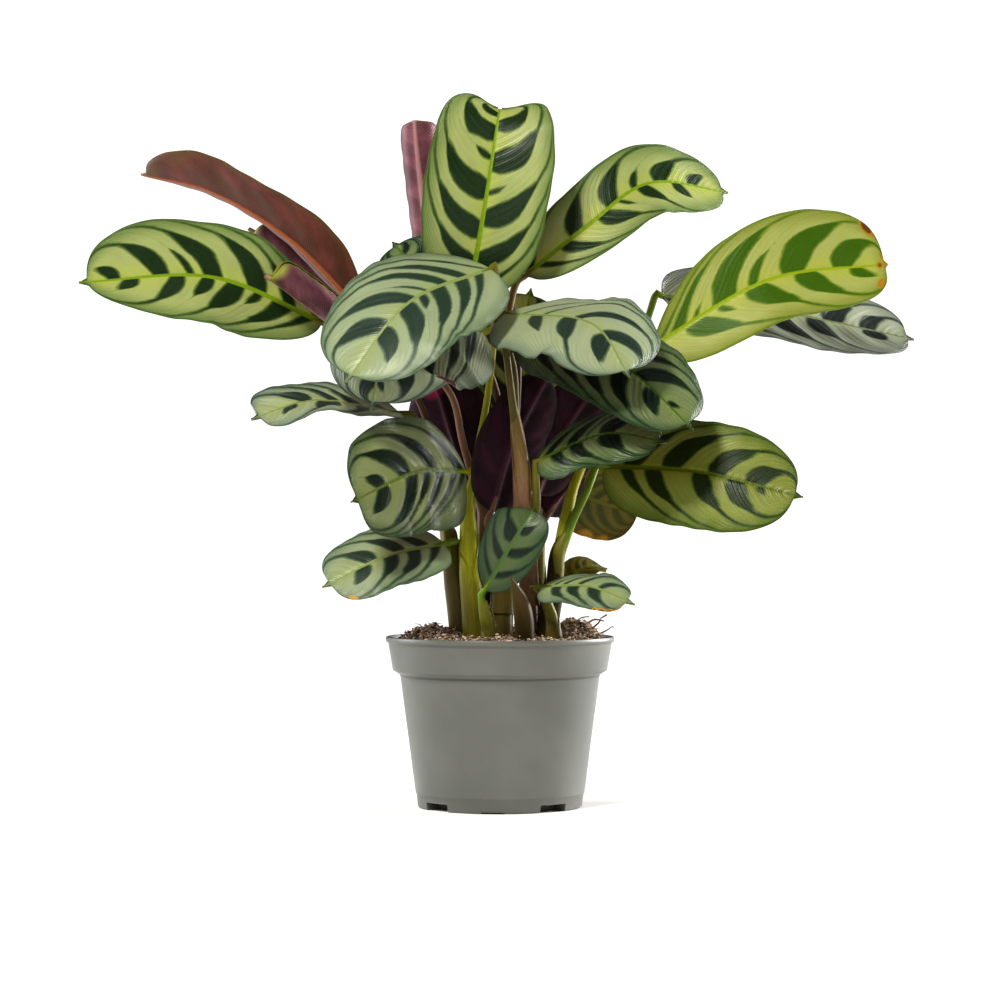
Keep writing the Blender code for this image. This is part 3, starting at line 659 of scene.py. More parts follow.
@dataclass
class Blade:
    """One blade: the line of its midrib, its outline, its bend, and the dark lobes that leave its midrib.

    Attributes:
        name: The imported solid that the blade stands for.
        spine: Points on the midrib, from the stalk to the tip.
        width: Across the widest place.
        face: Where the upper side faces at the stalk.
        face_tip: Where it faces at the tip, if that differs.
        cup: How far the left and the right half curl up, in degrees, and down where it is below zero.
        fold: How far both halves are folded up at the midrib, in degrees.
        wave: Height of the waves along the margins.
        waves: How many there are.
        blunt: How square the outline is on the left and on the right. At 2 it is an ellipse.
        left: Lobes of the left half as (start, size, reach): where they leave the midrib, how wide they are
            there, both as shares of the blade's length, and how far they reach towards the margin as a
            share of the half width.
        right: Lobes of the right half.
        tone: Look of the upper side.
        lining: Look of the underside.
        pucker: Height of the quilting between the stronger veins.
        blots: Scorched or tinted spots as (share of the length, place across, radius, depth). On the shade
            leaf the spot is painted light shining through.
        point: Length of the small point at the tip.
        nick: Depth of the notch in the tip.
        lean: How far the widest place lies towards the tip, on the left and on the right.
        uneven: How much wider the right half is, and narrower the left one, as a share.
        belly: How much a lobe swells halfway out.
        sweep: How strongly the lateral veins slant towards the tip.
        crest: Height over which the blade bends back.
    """

    name: str
    spine: tuple
    width: float
    face: tuple
    face_tip: tuple = ()
    cup: tuple = (15.0, 15.0)
    fold: float = 0.0
    wave: float = 0.0
    waves: float = 2.0
    blunt: tuple = (2.4, 2.4)
    left: tuple = ()
    right: tuple = ()
    tone: Tone = Tone.FRESH
    lining: Lining = Lining.MAUVE
    pucker: float = 0.12
    blots: tuple = ()
    point: float = 2.6
    nick: float = 0.0
    lean: tuple = (0.0, 0.0)
    uneven: float = 0.0
    belly: float = 1.8
    sweep: float = 0.7
    crest: float = math.inf

    # The sheet itself, its keel and the groove over it
    THICKNESS = 0.42
    KEEL = 0.8
    KEEL_WIDTH = 0.9
    GROOVE = 0.3
    GROOVE_WIDTH = 0.8
    PUCKERS = 7.0
    # The outline
    BASE_HALF_WIDTH = 0.9
    TIP_HALF_WIDTH = 0.28
    MUCRO_HALF_WIDTH = 1.3
    NICK_REACH = (7.0, 11.0)
    NICK_START = 0.75
    CURL = 0.8
    UNEVEN_EDGE = 0.009
    RIPPLE = 0.006
    RIB_HALF_WIDTH = 0.85
    RIB_TAPER = 0.62
    # How finely it is sampled
    ROW_LENGTH = 0.85
    FEWEST_ROWS = 28
    POINT_ROWS = 5
    COLUMNS = 23
    # The lobes
    LOBE_SPACING = 0.17
    BELLY_BACK = 0.75
    CROWDING = 0.6
    TAIL_REACH = 0.5
    TAIL_END = 0.965
    TAIL_WIDTH = 0.12
    TAIL_FLARE = 1.3

    def __post_init__(self) -> None:
        """Fits the midrib's curve and gives a blade without listed lobes an even set."""
        self.curve = Path(self.spine)
        self.length = self.curve.length
        self.body = 1 - self.point / self.length
        self.draw = np.random.default_rng(SEED + sum(ord(letter) for letter in self.name))
        self.phase = self.draw.uniform(0, math.tau)
        if not self.left and not self.right:
            self.left = self.even_lobes(0.03)
            self.right = self.even_lobes(0.03 + self.LOBE_SPACING / 2)

    def even_lobes(self, first: float) -> tuple:
        """A set of lobes at even steps with small random changes.

        Args:
            first: Where the first lobe starts.

        Returns:
            Lobes as (start, size, reach).
        """
        starts = np.arange(first, 0.86, self.LOBE_SPACING)
        return tuple(
            (start + self.draw.uniform(-0.015, 0.015), 0.075 - 0.03 * start, self.draw.uniform(0.6, 0.85))
            for start in starts
        )

    def rows(self) -> np.ndarray:
        """Where the blade is sampled along its length, closer together at both ends.

        Returns:
            Shares of the length, the last few of them on the small point.
        """
        count = max(self.FEWEST_ROWS, round(self.length / self.ROW_LENGTH))
        ramp = (1 - np.cos(np.linspace(0, math.pi, count))) / 2
        body = self.body * (0.6 * ramp + 0.4 * np.linspace(0, 1, count))
        point = self.body + (1 - self.body) * np.linspace(0.2, 1, self.POINT_ROWS)
        return np.concatenate([body, point])

    def columns(self) -> np.ndarray:
        """Where the blade is sampled across, closer together at the midrib and the margins.

        Returns:
            Places from -1 at the left margin to 1 at the right.
        """
        side = np.linspace(0, 1, self.COLUMNS)
        side = side - 0.5 * np.sin(math.tau * side) / math.tau
        side[0] = 0.004
        return np.concatenate([-side[::-1], side])

    def half_width(self, t: np.ndarray, v: np.ndarray) -> np.ndarray:
        """Width of the half that each column is on: an oval with a small point at its tip.

        Args:
            t: Shares of the length, one for each row.
            v: Places across, one for each column.

        Returns:
            Widths by row and column.
        """
        t, side = t[:, None], np.where(v > 0, 1, 0)
        lean, blunt = (np.array(values)[side][None, :] for values in (self.lean, self.blunt))
        inside = np.minimum(t / self.body, 1.0) ** (1 + lean)
        full = self.width / 2 * (1 + self.uneven * np.sign(v)[None, :])
        oval = full * (1 - np.abs(2 * inside - 1) ** blunt) ** (1 / blunt)
        lag = self.phase * np.where(v > 0, 1.0, 1.7)[None, :]
        swings = np.sin(math.tau * 2.7 * t + lag) + 0.5 * np.sin(math.tau * 7.1 * t + 3 * lag)
        oval = oval * (1 + self.UNEVEN_EDGE * swings)
        tip = self.MUCRO_HALF_WIDTH * np.minimum(1.0, (1 - t) / (1 - self.body))
        point = np.where(t > 0.5, tip, self.BASE_HALF_WIDTH)
        return np.maximum(np.maximum(oval, point), self.TIP_HALF_WIDTH)

    def frame(self, t: np.ndarray) -> tuple[np.ndarray, np.ndarray, np.ndarray, np.ndarray]:
        """Places and directions on the midrib.

        Args:
            t: Shares of the length.

        Returns:
            The places, and the directions along the midrib, to its right and out of the upper side.
        """
        place = self.curve.at(t)
        ahead = unit(self.curve.at(t + 0.01) - self.curve.at(t - 0.01))
        tip = np.array(self.face_tip or self.face, float)
        face = np.array(self.face, float) * (1 - t[:, None]) + tip * t[:, None]
        right = unit(np.cross(ahead, face))
        return place, ahead, right, np.cross(right, ahead)

    def vein_drift(self, far: np.ndarray) -> tuple[np.ndarray, np.ndarray]:
        """How far along the blade a lateral vein has run when it is this far out, and how fast that grows.

        Args:
            far: Distance from the midrib as a share of the half width.

        Returns:
            Shares of the blade's length, and their growth with far.
        """
        ratio = self.width / 2 / self.length
        drift = self.sweep * far**1.1 - 0.42 * np.log(1 - 0.94 * far**3)
        growth = 1.1 * self.sweep * far**0.1 + 1.184 * far**2 / (1 - 0.94 * far**3)
        return ratio * drift, ratio * growth

    def surface(self, t: np.ndarray, v: np.ndarray) -> np.ndarray:
        """Points of the upper side.

        Args:
            t: Shares of the length, one for each row.
            v: Places across, from -1 at the left margin to 1 at the right.

        Returns:
            An array of rows, columns and x, y, z.
        """
        place, ahead, right, up = self.frame(t)
        half = self.half_width(t, v)
        cup = np.radians(np.where(v < 0, self.cup[0], self.cup[1]))
        cup = np.where(np.abs(cup) < 1e-6, 1e-6, cup)
        turn = cup * np.abs(v)
        out = half * (np.sin(turn) / cup)
        rise = half * ((1 - np.cos(turn)) / cup)
        fold = math.radians(self.fold)
        out, rise = out * math.cos(fold) - rise * math.sin(fold), out * math.sin(fold) + rise * math.cos(fold)
        phase = np.where(v > 0, 0.5, 0.0)
        swell = self.wave * v**2 * np.sin(math.tau * (self.waves * t[:, None] + phase))
        swing = math.tau * (8.3 * t[:, None] + 0.37 * phase) + self.phase
        ripple = self.RIPPLE * self.width * np.abs(v) ** 4 * np.sin(swing)
        swell = (swell + ripple) * np.clip(np.sin(math.pi * t), 0, 1)[:, None]
        end = np.maximum(0.0, (t - self.NICK_START) / (1 - self.NICK_START))[:, None]
        reach = np.where(v < 0, self.NICK_REACH[0], self.NICK_REACH[1])
        nick = self.nick * end**1.5 * np.exp(-((out / reach) ** 2))
        points = place[:, None] + right[:, None] * (out * np.sign(v))[..., None]
        points = points + up[:, None] * (rise + swell)[..., None] - ahead[:, None] * nick[..., None]
        # What would stand over the crest is bent back by as much
        over = np.maximum(0.0, points[..., 2] - self.crest)
        level = self.CURL * (1 - np.exp(-over / self.CURL))
        points[..., 1] += over - level
        points[..., 2] += level - over
        return points

    def lobe_marks(self, origin: np.ndarray, steep: np.ndarray, far: np.ndarray, lobes: list) -> np.ndarray:
        """Marking values of one half of the blade.

        Each lobe leaves the midrib, swells towards the base, and runs on as a thin tail along the margin.

        Args:
            origin: Where the vein through each point leaves the midrib, as a share of the length.
            steep: Growth of the origin for each millimetre square to the veins.
            far: Distance from the midrib of each column, as a share of the half width.
            lobes: Lobes of this half that are counted together.

        Returns:
            The count of lobes at each point, the half thickness there and the width of one count, both of
            them in millimetres.
        """
        marks = np.stack([np.zeros_like(origin), np.full_like(origin, -1.0), np.zeros_like(origin)], axis=-1)
        if not lobes:
            return marks
        lobes = sorted(lobes)
        ends = (lobes[0][0] - 0.3, 0.0, 0.01), (lobes[-1][0] + 0.35, 0.0, 0.01)
        start, size, reach = (np.array(values)[:, None] for values in zip(ends[0], *lobes, ends[1]))
        out = np.clip(far / reach, 0, 1)
        swell = size / 2 * self.belly * out * (1 - out**3)
        body = size / 2 * (1 - out**3) + swell
        middle = start + size / 2 - self.BELLY_BACK * swell
        # Neighbours never touch: where they would crowd each other, both are slimmer
        room = np.maximum(np.diff(middle, axis=0), 1e-3)
        ease = np.minimum(1.0, self.CROWDING * room / np.maximum(body[:-1] + body[1:], 1e-6))
        free = np.ones_like(ease[:1])
        body = body * np.minimum(np.vstack([free, ease]), np.vstack([ease, free]))
        gap = (room - body[:-1] - body[1:]) / 2
        space = 0.95 * (body + np.minimum(np.vstack([gap[:1], gap]), np.vstack([gap, gap[-1:]])))
        knots = np.stack([middle - space, middle + space], axis=1).reshape(-1, len(far))
        levels = (np.arange(len(start))[:, None] + np.array([[0.1, 0.9]])).ravel()
        tailed = (reach > self.TAIL_REACH) & (far > reach / 2) & (far < self.TAIL_END)
        for column in range(len(far)):
            count = np.interp(origin[:, column], knots[:, column], levels)
            own = count.astype(int)
            near = space[own, column] / steep[:, column]
            thick = body[own, column] / steep[:, column] - 0.35 * out[own, column] ** 4
            tail = np.minimum(self.TAIL_WIDTH + self.TAIL_FLARE * (1 - far[column]), 0.4 * near)
            thick = np.where(tailed[own, column], np.maximum(thick, tail), thick)
            marks[:, column] = np.stack([count, np.where(size[own, 0] > 0, thick, -1.0), 2.5 * near], axis=1)
        return marks

    def markings(self, t: np.ndarray, v: np.ndarray) -> list[np.ndarray]:
        """The values that the blade's materials read at each point.

        Args:
            t: Shares of the length.
            v: Places across.

        Returns:
            The place along, across and by vein, the marking values of lobes and of flecks, and the rim's.
        """
        half, far = self.half_width(t, v), np.abs(v)
        drift, growth = self.vein_drift(far)
        steep = np.hypot(1 / self.length, growth[None, :] / half)
        origin = t[:, None] - drift[None, :]
        marks = []
        for tailed in (True, False):
            halves = []
            for side, own in ((v < 0, self.left), (v > 0, self.right)):
                wanted = [lobe for lobe in own if (lobe[2] >= self.TAIL_REACH) == tailed]
                halves.append(self.lobe_marks(origin[:, side], steep[:, side], far[side], wanted))
            marks.append(np.concatenate(halves, axis=1))
        across = half * v[None, :]
        rib = (self.RIB_HALF_WIDTH - self.RIB_TAPER * t)[:, None] - np.abs(across)
        edge = np.minimum(half * (1 - far), (1 - t)[:, None] * self.length + 0.4)
        along = np.broadcast_to(t[:, None] * self.length, across.shape)
        place = np.stack([along, across, origin * self.length], axis=-1)
        return [place, *marks, np.stack([edge, rib, self.damage(t, v)], axis=-1)]

    def damage(self, t: np.ndarray, v: np.ndarray) -> np.ndarray:
        """How deep in a blot each point is, which the materials show as scorch, as a tint below, and on the
        shade leaf as painted light shining through.

        Args:
            t: Shares of the length.
            v: Places across.

        Returns:
            Values from 0 where it is sound to 1 or a little over in the middle of a deep blot.
        """
        half = self.half_width(t, v)
        value = np.zeros((len(t), len(v)))
        for at_t, at_v, radius, depth in self.blots:
            gap = np.hypot((t[:, None] - at_t) * self.length, half * v[None, :] - at_v * half)
            value = np.maximum(value, depth * np.clip(1.4 - gap / radius, 0, 1))
        return value

    def build(self, materials: dict[Enum, bpy.types.Material]) -> bpy.types.Object:
        """Makes the blade: upper side, underside with its keel, and a thin margin between them.

        Args:
            materials: Finished materials by Tone and Lining.

        Returns:
            The blade's object.
        """
        t, v = self.rows(), self.columns()
        top = self.surface(t, v)
        values = self.markings(t, v)
        across, by_vein = values[0][..., 1], values[0][..., 2]
        normal = unit(np.cross(np.gradient(top, axis=1), np.gradient(top, axis=0)))
        far = np.abs(v)[None, :]
        arch = np.sin(math.pi * np.clip(t, 0, 1))[:, None]
        waves = np.cos(math.tau * self.PUCKERS * by_vein / self.length)
        quilt = self.pucker * waves * np.sin(math.pi * far**0.8)
        groove = -self.GROOVE * np.exp(-((across / self.GROOVE_WIDTH) ** 2)) * arch**0.5
        top = top + normal * (quilt * np.clip(arch, 0, 1) ** 0.6 + groove)[..., None]
        keel = self.KEEL * np.exp(-((across / self.KEEL_WIDTH) ** 2)) * (1 - 0.7 * t)[:, None]
        thick = self.THICKNESS * (1 - 0.5 * far**6) + keel
        under = top - normal * thick[..., None]
        faces, slots = sheet_faces(len(t), len(v))
        draft = Draft()
        points = np.vstack([top.reshape(-1, 3), under.reshape(-1, 3)])
        draft.add(points, faces, slots, *(np.vstack([rows.reshape(-1, 3)] * 2) for rows in values))
        look = [materials[self.tone], materials[self.lining]]
        return draft.to_object(self.name.replace("leaf_", "blade_"), look)


BLADES = (
    Blade(
        "leaf_far_left",
        spine=((-55.4, 4, 150.4), (-88.3, -11, 163.4), (-127.4, -24, 160.9)),
        width=35.5, face=(-0.05, -0.93, 0.36), cup=(8, 14), fold=4, wave=0.9, waves=2.5,
        blunt=(1.75, 2.4), lean=(-0.06, 0.4), belly=1.4,
        left=((0.03, 0.05, 0.7), (0.134, 0.08, 0.72), (0.265, 0.03, 0.35), (0.345, 0.07, 0.7),
              (0.472, 0.045, 0.45), (0.589, 0.055, 0.62), (0.773, 0.05, 0.4)),
        right=((-0.03, 0.05, 0.8), (0.12, 0.05, 0.8), (0.255, 0.075, 0.85), (0.44, 0.07, 0.85),
               (0.55, 0.025, 0.5), (0.65, 0.06, 0.75), (0.84, 0.045, 0.45)),
    ),
    Blade(
        "leaf_arched_left",
        spine=((-44.9, 6, 156), (-65.8, 10, 177), (-91, 22, 192.8), (-115.2, 38, 200)),
        width=27, face=(0.4, 0.64, 0.66), face_tip=(0.1, 0.5, 0.86), cup=(25, 60),
        fold=6, wave=1.6, waves=1.6, lining=Lining.RUSSET,
        blots=((0.97, -0.4, 8.0, 0.6), (0.8, -0.95, 6.0, 0.5), (0.6, 0.4, 5.0, 0.4)),
    ),
    Blade(
        "leaf_rolled_back",
        spine=((-52, 28, 156), (-66.8, 32, 169.6), (-80.5, 34, 182)),
        width=17, face=(0.6, -0.2, 0.75), cup=(150, 150), blunt=(6.0, 6.0),
        blots=((1.0, -0.6, 4.0, 0.9), (1.0, 0.6, 4.0, 0.9)),
    ),
    Blade(
        "leaf_rolled_front",
        spine=((-52.5, 0, 150.5), (-60, -5, 156), (-67, -8, 161), (-72.2, -10, 164)),
        width=22, face=(0.62, -0.2, 0.75), cup=(160, 160), blunt=(6.0, 6.0),
        blots=((1.0, -0.7, 4.5, 0.9), (1.0, 0.7, 4.5, 0.9), (1.0, 0.0, 4.0, 0.9)),
        tone=Tone.BACKLIT,
    ),
    Blade(
        "leaf_top",
        spine=((-9.3, -4, 159.2), (-4.9, -9, 184.0), (-1.0, -7, 209.5), (0.6, 4, 221)),
        width=39.5, face=(0.0, -1.0, 0.1), cup=(16, 16), fold=3, wave=0.5, blunt=(2.6, 2.6),
        nick=7.0, point=0.8, belly=2.3, sweep=0.6,
        left=((0.1, 0.06, 0.75), (0.25, 0.075, 0.8), (0.43, 0.085, 0.8), (0.61, 0.02, 0.3),
              (0.7, 0.075, 0.75), (0.85, 0.045, 0.5)),
        right=((-0.03, 0.03, 0.8), (0.12, 0.065, 0.8), (0.31, 0.07, 0.8), (0.45, 0.014, 0.28),
               (0.56, 0.08, 0.75), (0.75, 0.065, 0.65)),
    ),
    Blade(
        "leaf_middle_left",
        spine=((-3.0, -17, 165.6), (-27.5, -36, 154), (-45.6, -48, 130)),
        width=47, face=(-0.3, -0.78, 0.52), cup=(-16, -16), fold=4, wave=0.6, tone=Tone.SAGE,
        left=((0.05, 0.05, 0.6), (0.15, 0.075, 0.65), (0.29, 0.08, 0.7), (0.41, 0.03, 0.3),
              (0.49, 0.08, 0.65), (0.67, 0.075, 0.5)),
        right=((0.0, 0.015, 0.9), (0.13, 0.05, 0.8), (0.25, 0.05, 0.8), (0.375, 0.012, 0.4),
               (0.455, 0.055, 0.8), (0.64, 0.075, 0.65)),
    ),
    Blade(
        "leaf_under_left",
        spine=((-5.5, -8, 147), (-20, -21, 147.5), (-34, -30, 139.5), (-38.9, -33, 122)),
        width=48.5, face=(-0.3, -0.8, 0.5), cup=(-16, -16), wave=0.5, uneven=-0.1, tone=Tone.SILVER,
        left=((0.05, 0.07, 0.7), (0.2, 0.05, 0.75), (0.4, 0.09, 0.75), (0.64, 0.09, 0.7),
              (0.83, 0.03, 0.2)),
        right=((0.1, 0.06, 0.8), (0.3, 0.06, 0.8), (0.55, 0.08, 0.75), (0.8, 0.07, 0.6)),
    ),
    Blade(
        "leaf_edge_left",
        spine=((-31.0, -7, 122.0), (-56.0, -21, 125.5), (-75.0, -28, 119.5)),
        width=24, face=(0.05, -0.33, 0.94), face_tip=(-0.35, -0.62, 0.7), cup=(10, 10), wave=0.9,
        blunt=(5.0, 5.0), tone=Tone.SILVER, pucker=0.45,
        left=((0.2, 0.08, 0.6), (0.45, 0.1, 0.6), (0.72, 0.06, 0.4)),
        right=((0.08, 0.07, 0.7), (0.25, 0.09, 0.7), (0.42, 0.06, 0.7), (0.6, 0.07, 0.7)),
    ),
    Blade(
        "leaf_low_left",
        spine=((-10.5, -8, 103.8), (-25.0, -26, 103.5), (-44.0, -45, 94.4)),
        width=37, face=(0.68, -0.7, 0.15), cup=(-12, -30), wave=1.0, waves=3, blunt=(3.2, 2.4),
        lean=(-0.3, 0.0), tone=Tone.MOSS, pucker=0.35,
        left=((0.0, 0.05, 0.6), (0.07, 0.07, 0.8), (0.2, 0.08, 0.8), (0.33, 0.06, 0.55), (0.45, 0.1, 0.8),
              (0.7, 0.08, 0.5)),
        right=((0.02, 0.07, 0.8), (0.27, 0.07, 0.8), (0.5, 0.085, 0.75), (0.72, 0.06, 0.35)),
    ),
    Blade(
        "leaf_bottom_left",
        spine=((-17.2, -10, 81.8), (-34.9, -22, 78.0), (-53.6, -28, 68.8)),
        width=26.5, face=(-0.1, -0.75, 0.66), cup=(-12, -16), wave=0.5, blunt=(3.0, 3.0),
        uneven=0.07, tone=Tone.SAGE,
        left=((0.05, 0.06, 0.6), (0.22, 0.10, 0.75), (0.41, 0.1, 0.65), (0.64, 0.09, 0.5)),
        right=((0.13, 0.08, 0.6), (0.33, 0.085, 0.7), (0.56, 0.085, 0.6)),
        blots=((0.86, -0.95, 1.6, 0.55),),
    ),
    Blade(
        "leaf_front",
        spine=((-4.6, -16.5, 67.7), (1.5, -20, 78.3), (6.5, -21.5, 86.5), (9.5, -20, 91.3),
               (10, -17.2, 92.6)),
        width=18.8, face=(0.1, -0.95, 0.3), cup=(18, 18), fold=4, wave=0.4, blunt=(3.0, 2.6),
        lean=(1.0, 0.3), crest=92.0, tone=Tone.JADE, lining=Lining.GREEN,
        left=((0.12, 0.04, 0.8), (0.33, 0.065, 0.8), (0.55, 0.11, 0.6)),
        right=((0.14, 0.06, 0.85), (0.4, 0.075, 0.8), (0.66, 0.07, 0.45)),
    ),
    Blade(
        "leaf_bottom_right",
        spine=((13.1, -15, 68.7), (27.1, -27, 69.1), (40.5, -32, 63.8)),
        width=18, face=(0.1, -0.65, 0.76), cup=(-15, -15), wave=0.4, blunt=(3.0, 3.0),
        tone=Tone.SAGE, lining=Lining.GREEN,
        left=((0.1, 0.03, 0.8), (0.22, 0.04, 0.8), (0.4, 0.045, 0.8), (0.62, 0.04, 0.7)),
        right=((0.13, 0.10, 0.8), (0.33, 0.11, 0.7), (0.55, 0.1, 0.7)),
        blots=((0.72, 1.0, 0.9, 1.0), (0.78, 1.0, 1.0, 1.0), (0.84, 1.0, 1.0, 1.0), (0.9, 1.0, 0.9, 1.0)),
    ),
    Blade(
        "leaf_small_back",
        spine=((20.3, 8, 68.4), (26.8, 16, 74.2), (34.0, 24, 73.4)),
        width=12, face=(-0.2, -0.7, 0.7), cup=(10, 10), tone=Tone.BRONZE, lining=Lining.GREEN,
    ),
    Blade(
        "leaf_brown",
        spine=((19.5, 14, 100), (32, 19, 94), (46, 22, 90.5)),
        width=24, face=(0.1, -0.95, -0.3), cup=(10, 10),
        wave=0.6, tone=Tone.BRONZE, lining=Lining.RUSSET,
        blots=((0.3, 1.0, 3.0, 0.5), (0.48, 1.0, 3.4, 0.5), (0.64, 1.0, 2.6, 0.45)),
    ),
    Blade(
        "leaf_middle_right",
        spine=((11.5, -13.6, 107.2), (31.7, -27, 115.2), (50.1, -33, 112.4)),
        width=26, face=(0.0, -0.7, 0.72), cup=(-12, -14), wave=0.6, blunt=(2.8, 2.6),
        tone=Tone.DEEP,
        left=((0.05, 0.06, 0.8), (0.25, 0.08, 0.85), (0.4, 0.01, 0.6), (0.52, 0.1, 0.75)),
        right=((0.11, 0.09, 0.75), (0.28, 0.10, 0.75), (0.54, 0.12, 0.6)),
    ),
    Blade(
        "leaf_low_right",
        spine=((32.1, -3, 105.5), (60.9, -17, 103.6), (91.5, -26, 95.9)),
        width=36, face=(0.0, -0.93, 0.36), cup=(-10, -14), wave=0.8, tone=Tone.OLIVE,
        left=((0.1, 0.08, 0.8), (0.30, 0.09, 0.8), (0.53, 0.08, 0.7), (0.72, 0.08, 0.55)),
        right=((0.09, 0.05, 0.62), (0.22, 0.07, 0.65), (0.465, 0.07, 0.65), (0.635, 0.075, 0.6),
               (0.78, 0.025, 0.2)),
    ),
    Blade(
        "leaf_right",
        spine=((7.4, -6.5, 147), (36.8, -27, 135.7), (57.6, -38, 116.2)),
        width=40, face=(0.3, -0.75, 0.6), cup=(-14, -16), wave=0.6, uneven=-0.07, tone=Tone.DEEP,
        left=((0.15, 0.06, 0.8), (0.32, 0.06, 0.8), (0.48, 0.05, 0.8), (0.62, 0.065, 0.75),
              (0.83, 0.025, 0.2)),
        right=((0.06, 0.08, 0.8), (0.2, 0.09, 0.8), (0.35, 0.1, 0.8), (0.52, 0.09, 0.75),
               (0.72, 0.065, 0.5)),
    ),
    Blade(
        "leaf_upper_right",
        spine=((1.8, -17, 152.0), (27.0, -38, 148), (38.4, -48, 131.2)),
        width=46, face=(0.2, -0.62, 0.76), cup=(-14, -18), wave=1.2, waves=2.5, tone=Tone.SILVER,
        left=((0.1, 0.015, 0.85), (0.25, 0.02, 0.9), (0.47, 0.045, 0.85), (0.68, 0.065, 0.7)),
        right=((0.2, 0.06, 0.5), (0.42, 0.08, 0.6), (0.7, 0.08, 0.45)),
    ),
    Blade(
        "leaf_top_right",
        spine=((8.4, 2, 165.2), (27.2, 5, 180.5), (47, 14, 194.8), (73, 32, 193.5)),
        width=27, face=(-0.3, -0.85, 0.4), face_tip=(0.1, -0.9, 0.4), cup=(10, 10),
        fold=3, wave=0.7,
        left=((0.0, 0.03, 0.8), (0.22, 0.055, 0.85), (0.405, 0.055, 0.85), (0.535, 0.02, 0.45),
              (0.64, 0.055, 0.65), (0.8, 0.04, 0.5)),
        right=((0.05, 0.025, 0.7), (0.16, 0.045, 0.8), (0.345, 0.055, 0.75), (0.45, 0.012, 0.4),
               (0.55, 0.045, 0.65), (0.72, 0.04, 0.5)),
    ),
    Blade(
        "leaf_far_right",
        spine=((48.3, 6, 143.3), (84.5, 8, 164), (122.7, 20, 169.6)),
        width=34, face=(-0.1, -0.97, 0.2), cup=(10, 10), fold=3, wave=0.7, blunt=(2.5, 3.0),
        lean=(0.72, 0.0),
        point=1.2, uneven=-0.13, belly=2.2, sweep=1.0, tone=Tone.BACKLIT, lining=Lining.GREEN,
        left=((-0.03, 0.05, 0.85), (0.06, 0.08, 0.9), (0.175, 0.012, 0.3), (0.27, 0.09, 0.9),
              (0.42, 0.03, 0.5), (0.56, 0.085, 0.85), (0.77, 0.075, 0.65)),
        right=((0.135, 0.075, 0.7), (0.27, 0.02, 0.3), (0.4, 0.08, 0.7), (0.61, 0.08, 0.65),
               (0.84, 0.045, 0.4)),
        blots=((0.93, -0.93, 2.4, 1.0), (0.965, 0.0, 1.3, 0.8), (0.95, 0.75, 2.0, 0.6),
               (0.985, -0.4, 1.6, 0.6)),
    ),
    Blade(
        "leaf_back_right",
        spine=((52, 26, 160), (95, 40, 155), (135.3, 54, 147.6)),
        width=33, face=(0.1, -0.7, 0.7), cup=(10, 10), wave=0.8, blunt=(3.2, 2.4),
        tone=Tone.PEWTER, pucker=0.45,
        left=((0.08, 0.06, 0.8), (0.27, 0.07, 0.8), (0.46, 0.07, 0.8), (0.63, 0.075, 0.6),
              (0.78, 0.055, 0.6)),
        right=((0.0, 0.05, 0.8), (0.2, 0.07, 0.8), (0.4, 0.06, 0.8), (0.56, 0.06, 0.6), (0.8, 0.06, 0.35)),
    ),
    Blade(
        "leaf_back_tall",
        spine=((-21, 30, 160), (-24, 32, 186), (-26.4, 32, 206), (-27.4, 33, 216.5)),
        width=30, face=(0.2, 0.97, 0.1), cup=(145, 145), blunt=(12.0, 12.0), point=0.5,
        blots=((0.98, 0.9, 3.5, 0.6), (0.85, 1.0, 3.0, 0.5)),
    ),
    Blade(
        "leaf_back_left",
        spine=((-14, 8, 154.1), (-25, 20, 166.5), (-34.5, 34, 177.8)),
        width=24, face=(-0.2, -0.85, 0.5), cup=(10, 10), tone=Tone.DEEP,
    ),
    Blade(
        "leaf_back_middle",
        spine=((3, 17, 117), (6, 26, 142), (10, 36, 163)),
        width=29, face=(0.1, -0.95, 0.2), cup=(10, 10),
    ),
    Blade(
        "leaf_purple_left",
        spine=((-2.6, -6.8, 91.9), (4, -6, 113.0), (15.5, -2, 135.0)),
        width=21.5, face=(-0.2, 0.95, 0.2), cup=(25, 25), lining=Lining.PLUM,
    ),
    Blade(
        "leaf_purple_right",
        spine=((11.5, 2, 97.0), (19.0, 3, 115.0), (32.0, 5, 134.0)),
        width=22, face=(-0.2, 0.95, 0.2), cup=(18, 18), lining=Lining.PLUM,
    ),
    # A real plum underside, stretched to back the dark middle: its size and near-black colour paint the shade
    # there, and its blot is a magenta spot of painted light shining through
    Blade(
        "leaf_shade",
        spine=((-8, 7, 97), (-14.5, 9, 114), (-21, 10, 135)),
        width=30, face=(0.2, 0.95, 0.2), cup=(25, 25), lining=Lining.PLUM,
        blots=((0.9, 0.15, 4.0, 0.9),),
    ),
    Blade(
        "leaf_low_purple",
        spine=((15.0, 6, 90.6), (19.7, 7, 97.5), (27.6, 9, 105.0)),
        width=12, face=(-0.2, 0.95, 0.2), cup=(25, 25), lining=Lining.PLUM,
    ),
)


class Skin(Enum):
    """How a stem or stalk is coloured."""

    CHARTREUSE = "chartreuse"
    OLIVE = "olive"
    ROSY = "rosy"
    UMBER = "umber"
    GREEN = "green"
    GREY = "grey"


